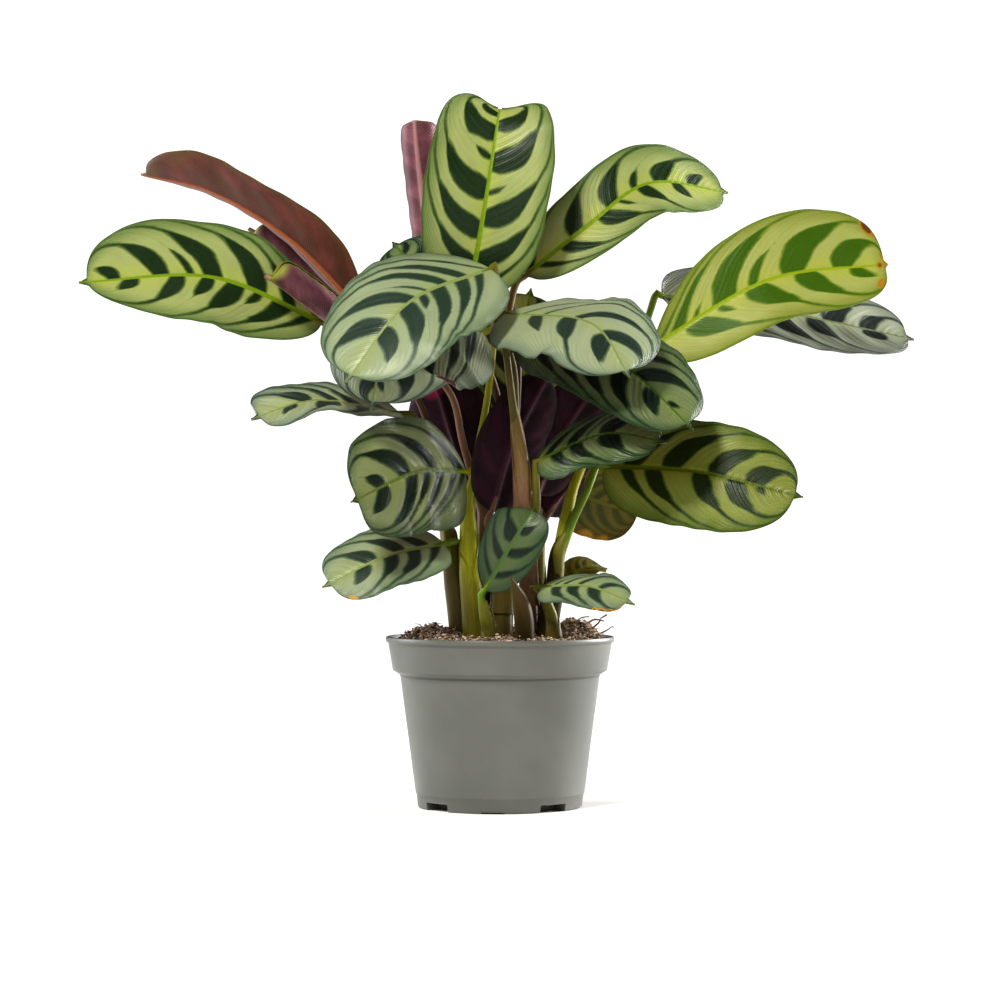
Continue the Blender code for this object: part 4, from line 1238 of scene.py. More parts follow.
@dataclass(frozen=True)
class StalkRind:
    """Fibrous rind of a stalk: fine lengthwise strands, darker at the foot, partly its own browner base and
    partly painted shade under the leaves, and its own colour higher up.

    The streak colours strands and patches, upper the rind's upper end, and foot its end near the soil.
    """

    name: str
    main: str
    streak: str
    upper: str
    foot: str
    roughness: float = 0.4
    gloss: float = 0.22

    STRANDS = 0.35
    STRAND_STRETCH = 0.05
    PATCHES = 4.0
    PATCH_STRETCH = 0.35
    RELIEF = 0.15
    LIGHT_THROUGH = 0.12

    def build(self) -> bpy.types.Material:
        """Makes the material.

        Returns:
            A material that reads the place and marking attributes.
        """
        # To the eye: a firm, faintly shiny rind with long fibres that catch the light as thin lines
        material, tree = new_material(self.name)
        place = read(tree, "place")[0]
        share = read(tree, "marking")[1][0]
        # Strands run the whole length, so both patterns are stretched along it
        noises = []
        patterns = ((self.STRANDS, self.STRAND_STRETCH, 3.0), (self.PATCHES, self.PATCH_STRETCH, 2.0))
        for size, stretch, detail in patterns:
            inputs = {"Vector": place, "Scale": (stretch, 1.0, 1.0)}
            drawn = add_node(tree, "ShaderNodeMapping", inputs).outputs[0]
            noises.append(add_step(tree, Step.NOISE, drawn, 1 / size, detail))
        strands, patches = noises
        base = layered(
            tree,
            linear(self.main),
            (strands, (0.35, 0.65, 0.0, 0.7), self.streak),
            (patches, (0.45, 0.7, 0.0, 0.5), self.streak),
            # The foot colour is partly the stem's own browner base and partly painted shade under the leaves
            (share, (0.08, 0.5, 0.75, 0.0), self.foot),
            (share, (0.45, 1.0, 0.0, 0.8), self.upper),
        )
        inputs = {"Strength": 0.4, "Distance": self.RELIEF * MM, "Height": strands}
        bump = add_node(tree, "ShaderNodeBump", inputs)
        skin = {
            "Base Color": base,
            "Roughness": self.roughness,
            "Specular IOR Level": self.gloss,
            "Normal": bump.outputs[0],
        }
        finish_tissue(tree, skin, base, self.LIGHT_THROUGH)
        return material


RINDS = {
    # Its very dark foot is mostly painted shade on the lower stem under the leaves
    Skin.CHARTREUSE: StalkRind(
        "fibrous stalk rind, yellow-green", "#A0A01A", "#76761A", "#98981E", "#403410"
    ),
    Skin.OLIVE: StalkRind("fibrous stalk rind, olive", "#655D26", "#423A16", "#727222", "#5A4C20"),
    Skin.ROSY: StalkRind("fibrous stalk rind, rosy brown", "#906E56", "#6E523C", "#74662C", "#6A5032"),
    Skin.UMBER: StalkRind("fibrous stalk rind, umber", "#664A34", "#3C2A1A", "#84644E", "#4A3A1C"),
    Skin.GREEN: StalkRind("fibrous stalk rind, green", "#6C8A1E", "#4A5A18", "#6C7E20", "#6A6A24"),
    Skin.GREY: StalkRind(
        "fibrous stalk rind, greyish brown", "#3C3014", "#2A200C", "#564626", "#403410",
        roughness=0.45, gloss=0.14,
    ),
}


def tube_form(
    route: np.ndarray, sides: int, ridges: float = 0.0
) -> tuple[np.ndarray, list, np.ndarray, np.ndarray]:
    """A round tapered tube along a route, closed by a point at each end.

    Args:
        route: Rows of x, y, z and radius.
        sides: Points round it.
        ridges: Height of fine lengthwise ridges as a share of the radius.

    Returns:
        Points, faces, surface coordinates and marking values.
    """
    middle, radius = route[:, :3], route[:, 3]
    ahead = unit(np.gradient(middle, axis=0))
    normal = unit(np.cross(ahead[0], (0.0, 1.0, 0.1)))
    rings, places = [], []
    reach = np.concatenate([[0.0], np.cumsum(np.linalg.norm(np.diff(middle, axis=0), axis=1))])
    angle = np.linspace(0, math.tau, sides, endpoint=False)
    cosine, sine = np.cos(angle), np.sin(angle)
    for row in range(len(route)):
        normal = unit(normal - ahead[row] * (normal @ ahead[row]))
        across = np.cross(ahead[row], normal)
        size = radius[row] * (1 + ridges * np.cos(angle * (sides // 3)))
        way = cosine[:, None] * normal + sine[:, None] * across
        rings.append(middle[row] + size[:, None] * way)
        places.append(np.stack([np.full(sides, reach[row]), radius[row] * cosine, radius[row] * sine], 1))
    points = np.vstack([*rings, middle[:1], middle[-1:]])
    place = np.vstack([*places, [[0, 0, 0]], [[reach[-1], 0, 0]]])
    share = np.concatenate([np.repeat(reach / reach[-1], sides), [0.0, 1.0]])
    marking = np.stack([share, np.zeros_like(share), np.zeros_like(share)], 1)
    faces = []
    for row in range(len(route) - 1):
        for side in range(sides):
            a, b = row * sides + side, row * sides + (side + 1) % sides
            faces.append((a, b, b + sides, a + sides))
    foot, tip, last = len(rings) * sides, len(rings) * sides + 1, (len(rings) - 1) * sides
    faces += [(foot, (side + 1) % sides, side) for side in range(sides)]
    faces += [(tip, last + side, last + (side + 1) % sides) for side in range(sides)]
    return points, faces, place, marking


@dataclass
class Stalk:
    """The stalk of one blade, from inside its sheath to the blade's midrib.

    Attributes:
        leaf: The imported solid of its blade.
        route: Points and radii from the stem outwards.
        skin: Look of its rind.
        lead: How far before the blade the stalk already runs in line with the midrib.
    """

    leaf: str
    route: tuple
    skin: Skin = Skin.OLIVE
    lead: float = 4.0

    PULVINUS_RADIUS = 1.15
    NECK_RADIUS = 0.95
    UNDER_RADII = (0.62, 0.3)
    UNDER_DEPTH = 0.75
    END_GAP = 0.6
    SINK = 3.5
    SEAT_DEPTH = 0.35
    ROOTED = 2.0
    STEP = 1.3
    FEWEST_RINGS = 8
    SIDES = 14
    FIRST_SHARE = 0.3

    def full_route(self, blade: Blade) -> np.ndarray:
        """The stalk's sampled route, run on under the blade's midrib so that the two join.

        Args:
            blade: The blade that the stalk carries.

        Returns:
            Rows of x, y, z and radius.
        """
        place, ahead, _, up = (rows[0] for rows in blade.frame(np.zeros(1)))
        seat = place - up * self.SEAT_DEPTH
        under_t = np.array([self.SINK / blade.length, 3 * self.SINK / blade.length])
        spots, _, _, lift = blade.frame(under_t)
        ends = [
            (*(seat - ahead * (self.lead + self.END_GAP)), self.PULVINUS_RADIUS),
            (*(seat - ahead * self.END_GAP), self.NECK_RADIUS),
            (*(spots[0] - lift[0] * self.UNDER_DEPTH), self.UNDER_RADII[0]),
            (*(spots[1] - lift[1] * self.UNDER_DEPTH), self.UNDER_RADII[1]),
        ]
        x, y, z, radius = self.route[0]
        curve = Path([(x, y, z - self.ROOTED, radius), *self.route[1:], *ends])
        count = max(self.FEWEST_RINGS, round(curve.length / self.STEP))
        return curve.at(np.linspace(0, 1, count))

    def add_to(self, draft: Draft, blade: Blade, slot: int) -> None:
        """Adds the stalk to its shoot's piece.

        Args:
            draft: The shoot's piece.
            blade: The blade that the stalk carries.
            slot: The stalk's material slot.
        """
        points, faces, place, marking = tube_form(self.full_route(blade), self.SIDES)
        # A stalk leaves its sheath well above the soil, so it has little of the foot's colour
        marking[:, 0] = self.FIRST_SHARE + (1 - self.FIRST_SHARE) * marking[:, 0]
        draft.add(points, faces, slot, place, marking)


@dataclass
class Shoot:
    """A leafy stem: its sheathed stem with papery sheath edges, and the stalks that leave it.

    Attributes:
        name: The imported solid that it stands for.
        stem: Points and radii from inside the soil upwards.
        stalks: The stalks that leave it.
        skin: Look of the stem.
        sheath: Look of the sheaths.
        seam: Angle round the stem at which the inner sheath's middle lies, in radians.
        blade_free: Whether it is a young shoot without open sheaths.
    """

    name: str
    stem: tuple
    stalks: tuple
    skin: Skin = Skin.OLIVE
    sheath: Skin = Skin.UMBER
    seam: float = -1.2
    blade_free: bool = False

    STEP = 1.2
    FEWEST_RINGS = 12
    SIDES = 24
    RIDGES = 0.025
    TAPER = 9.0
    SHARP = 60.0
    # The sheaths: how far they reach round and up, and how they lie on the stem
    SHEATH_ROWS = 34
    SHEATH_COLUMNS = 25
    SHEATH_ARC = 4.9
    SHEATH_TURN = 2.4
    SHEATH_FOOT = 0.3
    SHEATH_TOPS = (0.97, 0.72)
    SHEATH_THICKNESS = 0.22
    SHEATH_LIFT = 0.12
    SHEATH_FLARE = 0.25

    def add_sheath(self, draft: Draft, curve: Path, top: float, order: int, slot: int) -> None:
        """Adds one sheath: a thin skin wrapped most of the way round, open along a seam, with a slanting top.

        Args:
            draft: The shoot's piece.
            curve: The stem's curve with its radius.
            top: How far up it reaches, as a share of the stem.
            order: 0 for the inner sheath and 1 for the outer one.
            slot: Its material slot.
        """
        rows, columns = self.SHEATH_ROWS, self.SHEATH_COLUMNS
        shares = np.linspace(self.SHEATH_FOOT, top, rows)
        ahead = unit(np.gradient(curve.at(shares)[:, :3], axis=0))
        normal = unit(np.cross(ahead, (0.0, 1.0, 0.1)))
        across = np.cross(ahead, normal)
        turn = self.seam + order * self.SHEATH_TURN
        angle = turn + (np.linspace(0, 1, columns) - 0.5) * self.SHEATH_ARC
        slant = np.abs(np.linspace(-1, 1, columns)) ** 1.2
        lift = self.SHEATH_LIFT + order * self.SHEATH_FLARE * np.clip((top - shares) / 0.1, 0, 1)
        layers = []
        for extra in (self.SHEATH_THICKNESS, 0.0):
            grid = np.zeros((rows, columns, 3))
            for column in range(columns):
                drop = slant[column] * 0.5 * (shares - shares[0])
                own = curve.at(shares - drop)
                size = own[:, 3] + lift + extra + self.SHEATH_FLARE * slant[column] * (order + 0.4)
                way = math.cos(angle[column]) * normal + math.sin(angle[column]) * across
                grid[:, column] = own[:, :3] + way * size[:, None]
            layers.append(grid.reshape(-1, 3))
        along = np.repeat(shares * curve.length, columns)
        none = np.zeros(rows * columns)
        place = np.stack([along, np.tile(angle * 2.5, rows), none], 1)
        # The sheath's rim dries first, so its colour there is that of the upper end
        pale = np.maximum((shares[:, None] - self.SHEATH_FOOT) * 0.8, 0.9 * slant[None, :] ** 5)
        marking = np.stack([pale.ravel(), none, none], 1)
        faces = sheet_faces(rows, columns)[0]
        draft.add(np.vstack(layers), faces, slot, np.vstack([place, place]), np.vstack([marking, marking]))

    def taper(self) -> list[tuple]:
        """The short stretch in which the stem narrows into its first stalk.

        Returns:
            One more point of the stem, or none where no stalk leads on from it.
        """
        if not self.stalks or len(self.stalks[0].route) < 2:
            return []
        last, ahead = np.array(self.stem[-1]), np.array(self.stalks[0].route[1])
        way = unit(ahead[:3] - last[:3])
        return [(*(last[:3] + way * self.TAPER), 0.4 * last[3])]

    def build(self, blades: dict[str, Blade], materials: dict[Enum, bpy.types.Material]) -> bpy.types.Object:
        """Makes the shoot's piece.

        Args:
            blades: Blades by name.
            materials: Finished materials by Skin.

        Returns:
            The shoot's object.
        """
        skins = [self.skin, self.sheath, *[stalk.skin for stalk in self.stalks]]
        draft = Draft()
        curve = Path([*self.stem, *self.taper()])
        count = max(self.FEWEST_RINGS, round(curve.length / self.STEP))
        points, faces, place, marking = tube_form(curve.at(np.linspace(0, 1, count)), self.SIDES, self.RIDGES)
        draft.add(points, faces, 0, place, marking)
        if not self.blade_free:
            for order, top in enumerate(self.SHEATH_TOPS):
                self.add_sheath(draft, curve, top, order, 1)
        for number, stalk in enumerate(self.stalks):
            stalk.add_to(draft, blades[stalk.leaf], number + 2)
        look = [materials[skin] for skin in skins]
        return draft.to_object(self.name.replace("shoot_", "stems_"), look, self.SHARP)


ROOT_END = 34.0

SHOOTS = (
    Shoot(
        "shoot_left",
        stem=((-12.2, 2.2, ROOT_END, 2.9), (-12.2, 2.2, 54, 2.9), (-14.8, 0.5, 75, 2.6),
              (-16.4, -1.2, 86, 2.3)),
        stalks=(
            Stalk("leaf_bottom_left", ((-14.8, 0.5, 75, 1.2), (-16.2, -6, 81, 1.1)), Skin.GREEN),
            Stalk(
                "leaf_edge_left",
                ((-16.4, -1.2, 86, 1.4), (-19, -2, 104, 1.1), (-25, -4, 118, 1.0)), Skin.OLIVE,
            ),
            Stalk(
                "leaf_rolled_front",
                ((-16.4, -1.2, 86, 1.3), (-19, 1, 108, 1.1), (-30, 0, 134, 1.0)), Skin.UMBER,
            ),
        ),
        skin=Skin.OLIVE, sheath=Skin.OLIVE,
    ),
    Shoot(
        "shoot_front_left",
        stem=((-8, -3, ROOT_END, 3.0), (-8, -3, 54, 3.0), (-9.3, -4, 75, 2.9), (-9.8, -4.5, 87, 2.5)),
        stalks=(
            Stalk("leaf_low_left", ((-9.8, -4.5, 87, 1.6), (-9.5, -4.5, 97, 1.3)), Skin.CHARTREUSE),
            Stalk(
                "leaf_under_left",
                ((-9.8, -4.5, 87, 1.5), (-7.5, 0, 107, 1.2), (-4.5, 1, 123, 1.1), (-2.5, -1, 138, 1.0)),
                Skin.CHARTREUSE,
            ),
        ),
        skin=Skin.CHARTREUSE, sheath=Skin.CHARTREUSE, seam=-1.9,
    ),
    Shoot(
        "shoot_tall",
        stem=(
            (9.5, -2, ROOT_END, 2.2), (9.5, -2, 54, 2.2), (8.5, -7, 75, 2.3), (7.1, -12, 92, 2.5),
            (6.3, -13, 108, 2.3), (4.7, -13, 120, 1.6),
        ),
        stalks=(
            Stalk(
                "leaf_middle_left",
                ((4.7, -13, 120, 1.4), (3.4, -14.5, 128, 1.2), (0.9, -15.5, 148, 1.1)), Skin.OLIVE, 1.2,
            ),
            Stalk("leaf_upper_right", ((4.7, -13, 120, 1.3), (4.0, -13, 136, 1.1)), Skin.OLIVE),
            Stalk(
                "leaf_right",
                ((4.7, -13, 120, 1.3), (5.6, -8, 133, 1.1), (4.8, -5, 142, 1.1)), Skin.UMBER,
            ),
            Stalk(
                "leaf_middle_right",
                ((8.5, -7, 76, 1.5), (10.9, -12.5, 92, 1.5), (11.0, -13, 100, 1.2)), Skin.OLIVE, 0.4,
            ),
        ),
        skin=Skin.ROSY, sheath=Skin.ROSY,
    ),
    Shoot(
        "shoot_right",
        stem=((14.5, -5, ROOT_END, 2.6), (14.5, -5, 54, 2.6), (17, -6, 70, 2.5), (18, -7, 79, 2.1)),
        stalks=(
            Stalk(
                "leaf_low_right",
                ((18, -7, 79, 1.6), (22.3, -6, 88.5, 1.4), (26.8, -4.5, 98, 1.3)), Skin.GREEN, 2.0,
            ),
            Stalk(
                "leaf_far_right",
                ((17.6, -6.5, 77, 2.0), (20.6, -3.4, 90.4, 1.9), (24.3, 0, 103, 1.5), (35, 5, 125, 1.1)),
                Skin.CHARTREUSE,
            ),
        ),
        skin=Skin.OLIVE, sheath=Skin.GREY, seam=-0.7,
    ),
    Shoot(
        "shoot_middle",
        stem=((1.2, 1, ROOT_END, 2.9), (0.8, 1, 54, 3.2), (1.5, 3, 75, 2.9), (2.7, 4.5, 95, 2.2),
              (3.5, 4.5, 110, 1.6)),
        stalks=(
            Stalk(
                "leaf_top_right",
                ((3.5, 4.5, 110, 1.3), (4, 4, 127, 1.1), (2.5, 2, 142, 1.1), (2.8, 1, 153, 1.1)),
                Skin.ROSY,
            ),
            Stalk("leaf_top", ((3.3, 4.5, 104, 1.3), (-1, 7, 128, 1.1), (-8, 3, 147, 1.1)), Skin.UMBER),
            Stalk("leaf_back_middle", ((3, 4.5, 98, 1.2), (3.5, 13, 107, 1.0)), Skin.OLIVE),
            Stalk("leaf_purple_left", ((2.9, 2.5, 72, 1.2), (0, -2, 82, 1.0)), Skin.UMBER),
        ),
        skin=Skin.OLIVE, sheath=Skin.OLIVE,
    ),
    Shoot(
        "shoot_back_left",
        stem=((-6, 6.3, ROOT_END, 2.5), (-6, 6.3, 54, 2.5), (-5.4, 4.6, 75, 2.4), (-4.9, 3.2, 90, 2.1)),
        stalks=(
            Stalk(
                "leaf_far_left",
                ((-4, 3, 88, 1.4), (-11.3, 2, 112, 1.2), (-16, 3, 129, 1.1), (-32, 6, 144, 1.1)),
                Skin.ROSY,
            ),
            Stalk(
                "leaf_arched_left",
                ((-4, 3, 88, 1.3), (-9, 15, 112, 1.1), (-20, 16, 132, 1.1), (-34, 12, 147, 1.1)),
                Skin.UMBER,
            ),
            Stalk(
                "leaf_rolled_back",
                ((-4, 4, 84, 1.2), (-10, 20, 110, 1.0), (-23, 25, 132, 1.0), (-40, 27, 149, 1.0)),
                Skin.UMBER,
            ),
            Stalk("leaf_shade", ((-4, 4, 80, 1.1), (-7, 6, 90, 1.0)), Skin.UMBER),
            Stalk(
                "leaf_back_left",
                ((-4, 4, 86, 1.2), (-6, 11, 116, 1.0), (-9, 9, 138, 1.0)), Skin.OLIVE,
            ),
            Stalk(
                "leaf_back_tall",
                ((-4, 4, 82, 1.2), (-6, 26, 116, 1.0), (-15, 30, 146, 1.0)), Skin.ROSY,
            ),
        ),
        skin=Skin.UMBER, sheath=Skin.OLIVE,
    ),
    Shoot(
        "shoot_back_right",
        stem=((11, 8, ROOT_END, 2.3), (11, 8, 54, 2.3), (12, 8, 70, 2.0), (12.5, 9, 78, 1.6)),
        stalks=(
            Stalk(
                "leaf_back_right",
                ((12.5, 9, 78, 1.3), (15, 21, 100, 1.1), (28, 27, 132, 1.1), (44, 28, 147, 1.1)),
                Skin.GREEN,
                2.0,
            ),
            Stalk("leaf_brown", ((12.5, 9, 78, 1.2), (14, 11, 92, 1.0)), Skin.ROSY),
            Stalk("leaf_purple_right", ((12.5, 9, 78, 1.2), (9.0, 4, 88, 1.0)), Skin.UMBER),
            Stalk("leaf_small_back", ((11.5, 8, 62, 1.1), (15, 5, 66, 1.0)), Skin.GREEN),
            Stalk("leaf_low_purple", ((12.5, 9, 78, 1.1), (12.6, 7, 84, 1.0)), Skin.UMBER),
        ),
        skin=Skin.OLIVE, sheath=Skin.UMBER,
    ),
    Shoot(
        "shoot_small_front",
        stem=((-3, -13, ROOT_END, 2.4), (-3, -13, 54, 2.4), (-4, -14, 58, 2.2), (-5.4, -15.2, 64, 1.4)),
        stalks=(Stalk("leaf_front", ((-4.4, -14.6, 60, 1.2),), Skin.GREEN, 2.0),),
        skin=Skin.OLIVE, sheath=Skin.OLIVE, seam=-2.2,
    ),
    Shoot(
        "shoot_small_right",
        stem=((16.5, -12.5, ROOT_END, 2.0), (16.5, -12.5, 54, 2.0), (15, -13, 62, 1.6),
              (12, -13.5, 67, 1.1)),
        stalks=(Stalk("leaf_bottom_right", ((15, -13, 62, 1.1), (12, -13.5, 67, 1.0)), Skin.OLIVE),),
        skin=Skin.OLIVE, sheath=Skin.OLIVE,
    ),
    Shoot(
        "shoot_spear",
        stem=((7.6, -20, ROOT_END, 2.6), (7.6, -20, 52, 2.9), (6.6, -22.5, 63, 2.6), (3.4, -27, 71.5, 0.3)),
        stalks=(),
        skin=Skin.GREY, blade_free=True,
    ),
)


@dataclass(frozen=True)
class MouldedPolypropylene:
    """Injection-moulded polypropylene: matt, faintly grained by the mould, a little scuffed and dusty.

    Crumbs of soil stick near the lip, and painted shade darkens the corner under the rim band, at
    crease_height.
    """

    name: str = "moulded polypropylene, grey"
    main: str = "#5E605B"
    dust: str = "#868580"
    speck: str = "#6B6A5F"
    soil: str = "#6B553F"
    # Colour of the painted shade in the corner under the rim band
    painted_crease_shade: str = "#34342F"
    crease_height: float = 40.8
    roughness: float = 0.4

    PORES = 0.45
    SPECKS = 0.9
    SMEARS = 22.0
    RELIEF = 0.1
    IOR = 1.49

    def build(self) -> bpy.types.Material:
        """Makes the material.

        Returns:
            A material that reads the piece's own coordinates.
        """
        # To the eye: a soft grey with one broad dull highlight, which the pores and the dust break up.
        # The mould's real grain of 0.1 mm would not show, so the pores are drawn coarser.
        material, tree = new_material(self.name)
        add = partial(add_step, tree)
        spot = add_node(tree, "ShaderNodeTexCoord").outputs["Object"]
        inputs = {0: spot, "Scale": 1 / MM}
        in_mm = add_node(tree, "ShaderNodeVectorMath", inputs, operation="SCALE").outputs[0]
        height = add_node(tree, "ShaderNodeSeparateXYZ", {0: in_mm}).outputs[2]
        pores = add(Step.NOISE, in_mm, 1 / self.PORES, 3.0)
        smears = add(Step.NOISE, in_mm, 1 / self.SMEARS, 3.0)
        specks = add(Step.NOISE, in_mm, 1 / self.SPECKS, 1.0)
        base = layered(
            tree,
            linear(self.main),
            (smears, (0.4, 0.8, 0.0, 0.22), self.dust),
            (specks, (0.7, 0.78, 0.0, 0.5), self.speck),
        )
        near_lip = add(Step.EASE, height, 46.0, 53.0)
        crumbs = add(Step.MULTIPLY, near_lip, add(Step.EASE, specks, 0.52, 0.7))
        base = add(Step.MIX, add(Step.MULTIPLY, crumbs, 0.35), base, linear(self.soil))
        # Painted shade darkens the corner where the rim band meets the body, where the step would cast its
        # shadow
        off_crease = add(Step.ABSOLUTE, add(Step.SUBTRACT, height, self.crease_height))
        base = layered(tree, base, (off_crease, (0.15, 0.6, 0.75, 0.0), self.painted_crease_shade))
        inputs = {"Strength": 0.25, "Distance": self.RELIEF * MM, "Height": pores}
        bump = add_node(tree, "ShaderNodeBump", inputs)
        shine = add(Step.EASE, smears, 0.3, 0.7, self.roughness - 0.05, self.roughness + 0.1)
        inputs = {"Base Color": base, "Roughness": shine, "IOR": self.IOR, "Normal": bump.outputs[0]}
        skin = add_node(tree, "ShaderNodeBsdfPrincipled", inputs)
        add_node(tree, "ShaderNodeOutputMaterial", {"Surface": skin.outputs[0]})
        return material


@dataclass(frozen=True)
class Peat:
    """Crumbled peat and plant fibre: rough, dull and mottled from near black to tan.

    A lower tan_from gives more dry fibre.
    """

    name: str
    dark: str
    light: str
    tan: str
    tan_from: float = 0.6

    CRUMBS = 1.1
    DUST = 0.3
    RELIEF = 0.4
    ROUGHNESS = 0.92
    IOR = 1.4

    def build(self) -> bpy.types.Material:
        """Makes the material.

        Returns:
            A material that reads the place and marking attributes.
        """
        # To the eye: no shine at all, only crumbs that shade each other, with pale dry bits among them
        material, tree = new_material(self.name)
        add = partial(add_step, tree)
        place = read(tree, "place")[0]
        own = read(tree, "marking")[1][0]
        crumbs = add(Step.NOISE, place, 1 / self.CRUMBS, 5.0)
        dust = add(Step.NOISE, place, 1 / self.DUST)
        dry = add(Step.ADD, add(Step.MULTIPLY, dust, 0.5), own)
        base = layered(
            tree,
            linear(self.dark),
            (crumbs, (0.35, 0.7), self.light),
            (dry, (self.tan_from, self.tan_from + 0.4), self.tan),
        )
        inputs = {"Strength": 0.8, "Distance": self.RELIEF * MM, "Height": crumbs}
        bump = add_node(tree, "ShaderNodeBump", inputs)
        inputs = {"Base Color": base, "Roughness": self.ROUGHNESS, "IOR": self.IOR, "Normal": bump.outputs[0]}
        skin = add_node(tree, "ShaderNodeBsdfPrincipled", inputs)
        add_node(tree, "ShaderNodeOutputMaterial", {"Surface": skin.outputs[0]})
        return material


@dataclass
class NurseryPot:
    """The moulded pot: a thin cup with a rolled lip, a deep rim band, a foot ridge and four drain slots.

    The names with radius, band_top, band_bottom, body_top and foot are radii. The band and the step under it
    are measured downwards from the lip, and first_slot is an angle in degrees.
    """

    height: float = 52.8
    lip_radius: float = 35.4
    lip_depth: float = 1.6
    band_top: float = 34.6
    band_bottom: float = 33.2
    band_depth: float = 10.6
    body_top: float = 30.9
    step: float = 1.3
    foot: float = 25.4
    wall: float = 1.1
    floor: float = 1.6
    ridge: float = 4.5
    slot_width: float = 10.0
    slot_height: float = 2.4
    slot_reach: float = 7.0
    slot_overrun: float = 1.5
    first_slot: float = -50.0
    slots: int = 4
    notch_width: float = 7.0
    notch_height: float = 0.5
    sides: int = 180
    sharp: float = 40.0

    def profile(self) -> list[tuple[float, float]]:
        """The cup's outline.

        Returns:
            Points of (radius, height), from the inside of its floor over the lip round to its underside.
        """
        band_low = self.height - self.band_depth
        body_high = band_low - self.step
        lip_low = self.height - self.lip_depth
        inner = [
            (0.0, self.floor),
            (self.foot - self.wall - 1.2, self.floor),
            (self.foot - self.wall, self.floor + 1.2),
            (self.body_top - self.wall, body_high - 0.6),
            (self.band_bottom - self.wall, band_low + 0.4),
            (self.band_top - self.wall, self.height - 0.9),
            (self.band_top - self.wall + 0.4, self.height - 0.1),
        ]
        lip = [
            (self.lip_radius - 0.5, self.height),
            (self.lip_radius - 0.15, self.height - 0.12),
            (self.lip_radius, self.height - 0.45),
            (self.lip_radius, lip_low + 0.25),
            (self.lip_radius - 0.2, lip_low),
            (self.band_top + 0.1, lip_low - 0.2),
        ]
        band = [
            (self.band_top, lip_low - 0.6),
            (self.band_bottom + 0.03, band_low + 0.35),
            (self.band_bottom - 0.12, band_low + 0.08),
            (self.band_bottom - 0.5, band_low - 0.1),
            (self.body_top + 0.35, body_high + 0.35),
            (self.body_top, body_high - 0.25),
        ]
        foot = [
            (self.foot + 0.78, self.ridge + 0.15),
            (self.foot + 0.74, self.ridge - 0.05),
            (self.foot + 0.5, self.ridge - 0.3),
            (self.foot + 0.05, 0.6),
            (self.foot - 0.08, 0.2),
            (self.foot - 0.5, 0.0),
        ]
        under = [(20.0, 0.0), (19.4, 0.5), (14.6, 0.5), (14.0, 0.0), (3.0, 0.0), (2.6, 0.35), (0.0, 0.35)]
        return inner + lip + band + foot + under

    def build(self, plastic: bpy.types.Material) -> bpy.types.Object:
        """Turns the profile, cuts the slots and dresses the pot.

        Args:
            plastic: The pot's material.

        Returns:
            The pot's object.
        """
        outline = np.array(self.profile())
        angle = np.linspace(0, math.tau, self.sides, endpoint=False)
        rings = outline[1:-1]
        x = rings[:, 0, None] * np.cos(angle)
        y = rings[:, 0, None] * np.sin(angle)
        z = np.broadcast_to(rings[:, 1, None], x.shape)
        ends = [[0, 0, outline[0, 1]], [0, 0, outline[-1, 1]]]
        draft = Draft()
        points = np.vstack([np.stack([x, y, z], -1).reshape(-1, 3), ends])
        draft.add(points, turned_faces(len(rings), self.sides))
        pot = draft.to_object("nursery_pot", [plastic], self.sharp)
        self.cut(pot)
        return pot

    def cut(self, pot: bpy.types.Object) -> None:
        """Cuts the drain slots and the shallow notches between them.

        Args:
            pot: The turned cup.
        """
        cutter = bmesh.new()
        slot = (self.slot_width, self.slot_height, 0)
        notch = (self.notch_width, self.notch_height, 180 / self.slots)
        reach = self.foot + self.slot_overrun - self.slot_reach / 2
        for number in range(self.slots):
            for wide, high, turn in (slot, notch):
                made = bmesh.ops.create_cube(cutter, size=1.0)["verts"]
                bmesh.ops.scale(cutter, vec=Vector((self.slot_reach, wide, high * 2)) * MM, verts=made)
                bmesh.ops.translate(cutter, vec=Vector((reach, 0, 0)) * MM, verts=made)
                around = math.radians(self.first_slot + turn + number * 360 / self.slots)
                bmesh.ops.rotate(cutter, matrix=Matrix.Rotation(around, 3, "Z"), verts=made)
        mesh = bpy.data.meshes.new("slot_cutter")
        cutter.to_mesh(mesh)
        cutter.free()
        tool = bpy.data.objects.new("slot_cutter", mesh)
        bpy.context.scene.collection.objects.link(tool)
        change = pot.modifiers.new("Slots", "BOOLEAN")
        change.operation = "DIFFERENCE"
        change.object = tool
        change.solver = "EXACT"
        bpy.context.view_layer.update()
        cut_mesh = bpy.data.meshes.new_from_object(pot.evaluated_get(bpy.context.evaluated_depsgraph_get()))
        pot.modifiers.clear()
        pot.data = cut_mesh
        pot.data.set_sharp_from_angle(angle=math.radians(self.sharp))
        bpy.data.objects.remove(tool)


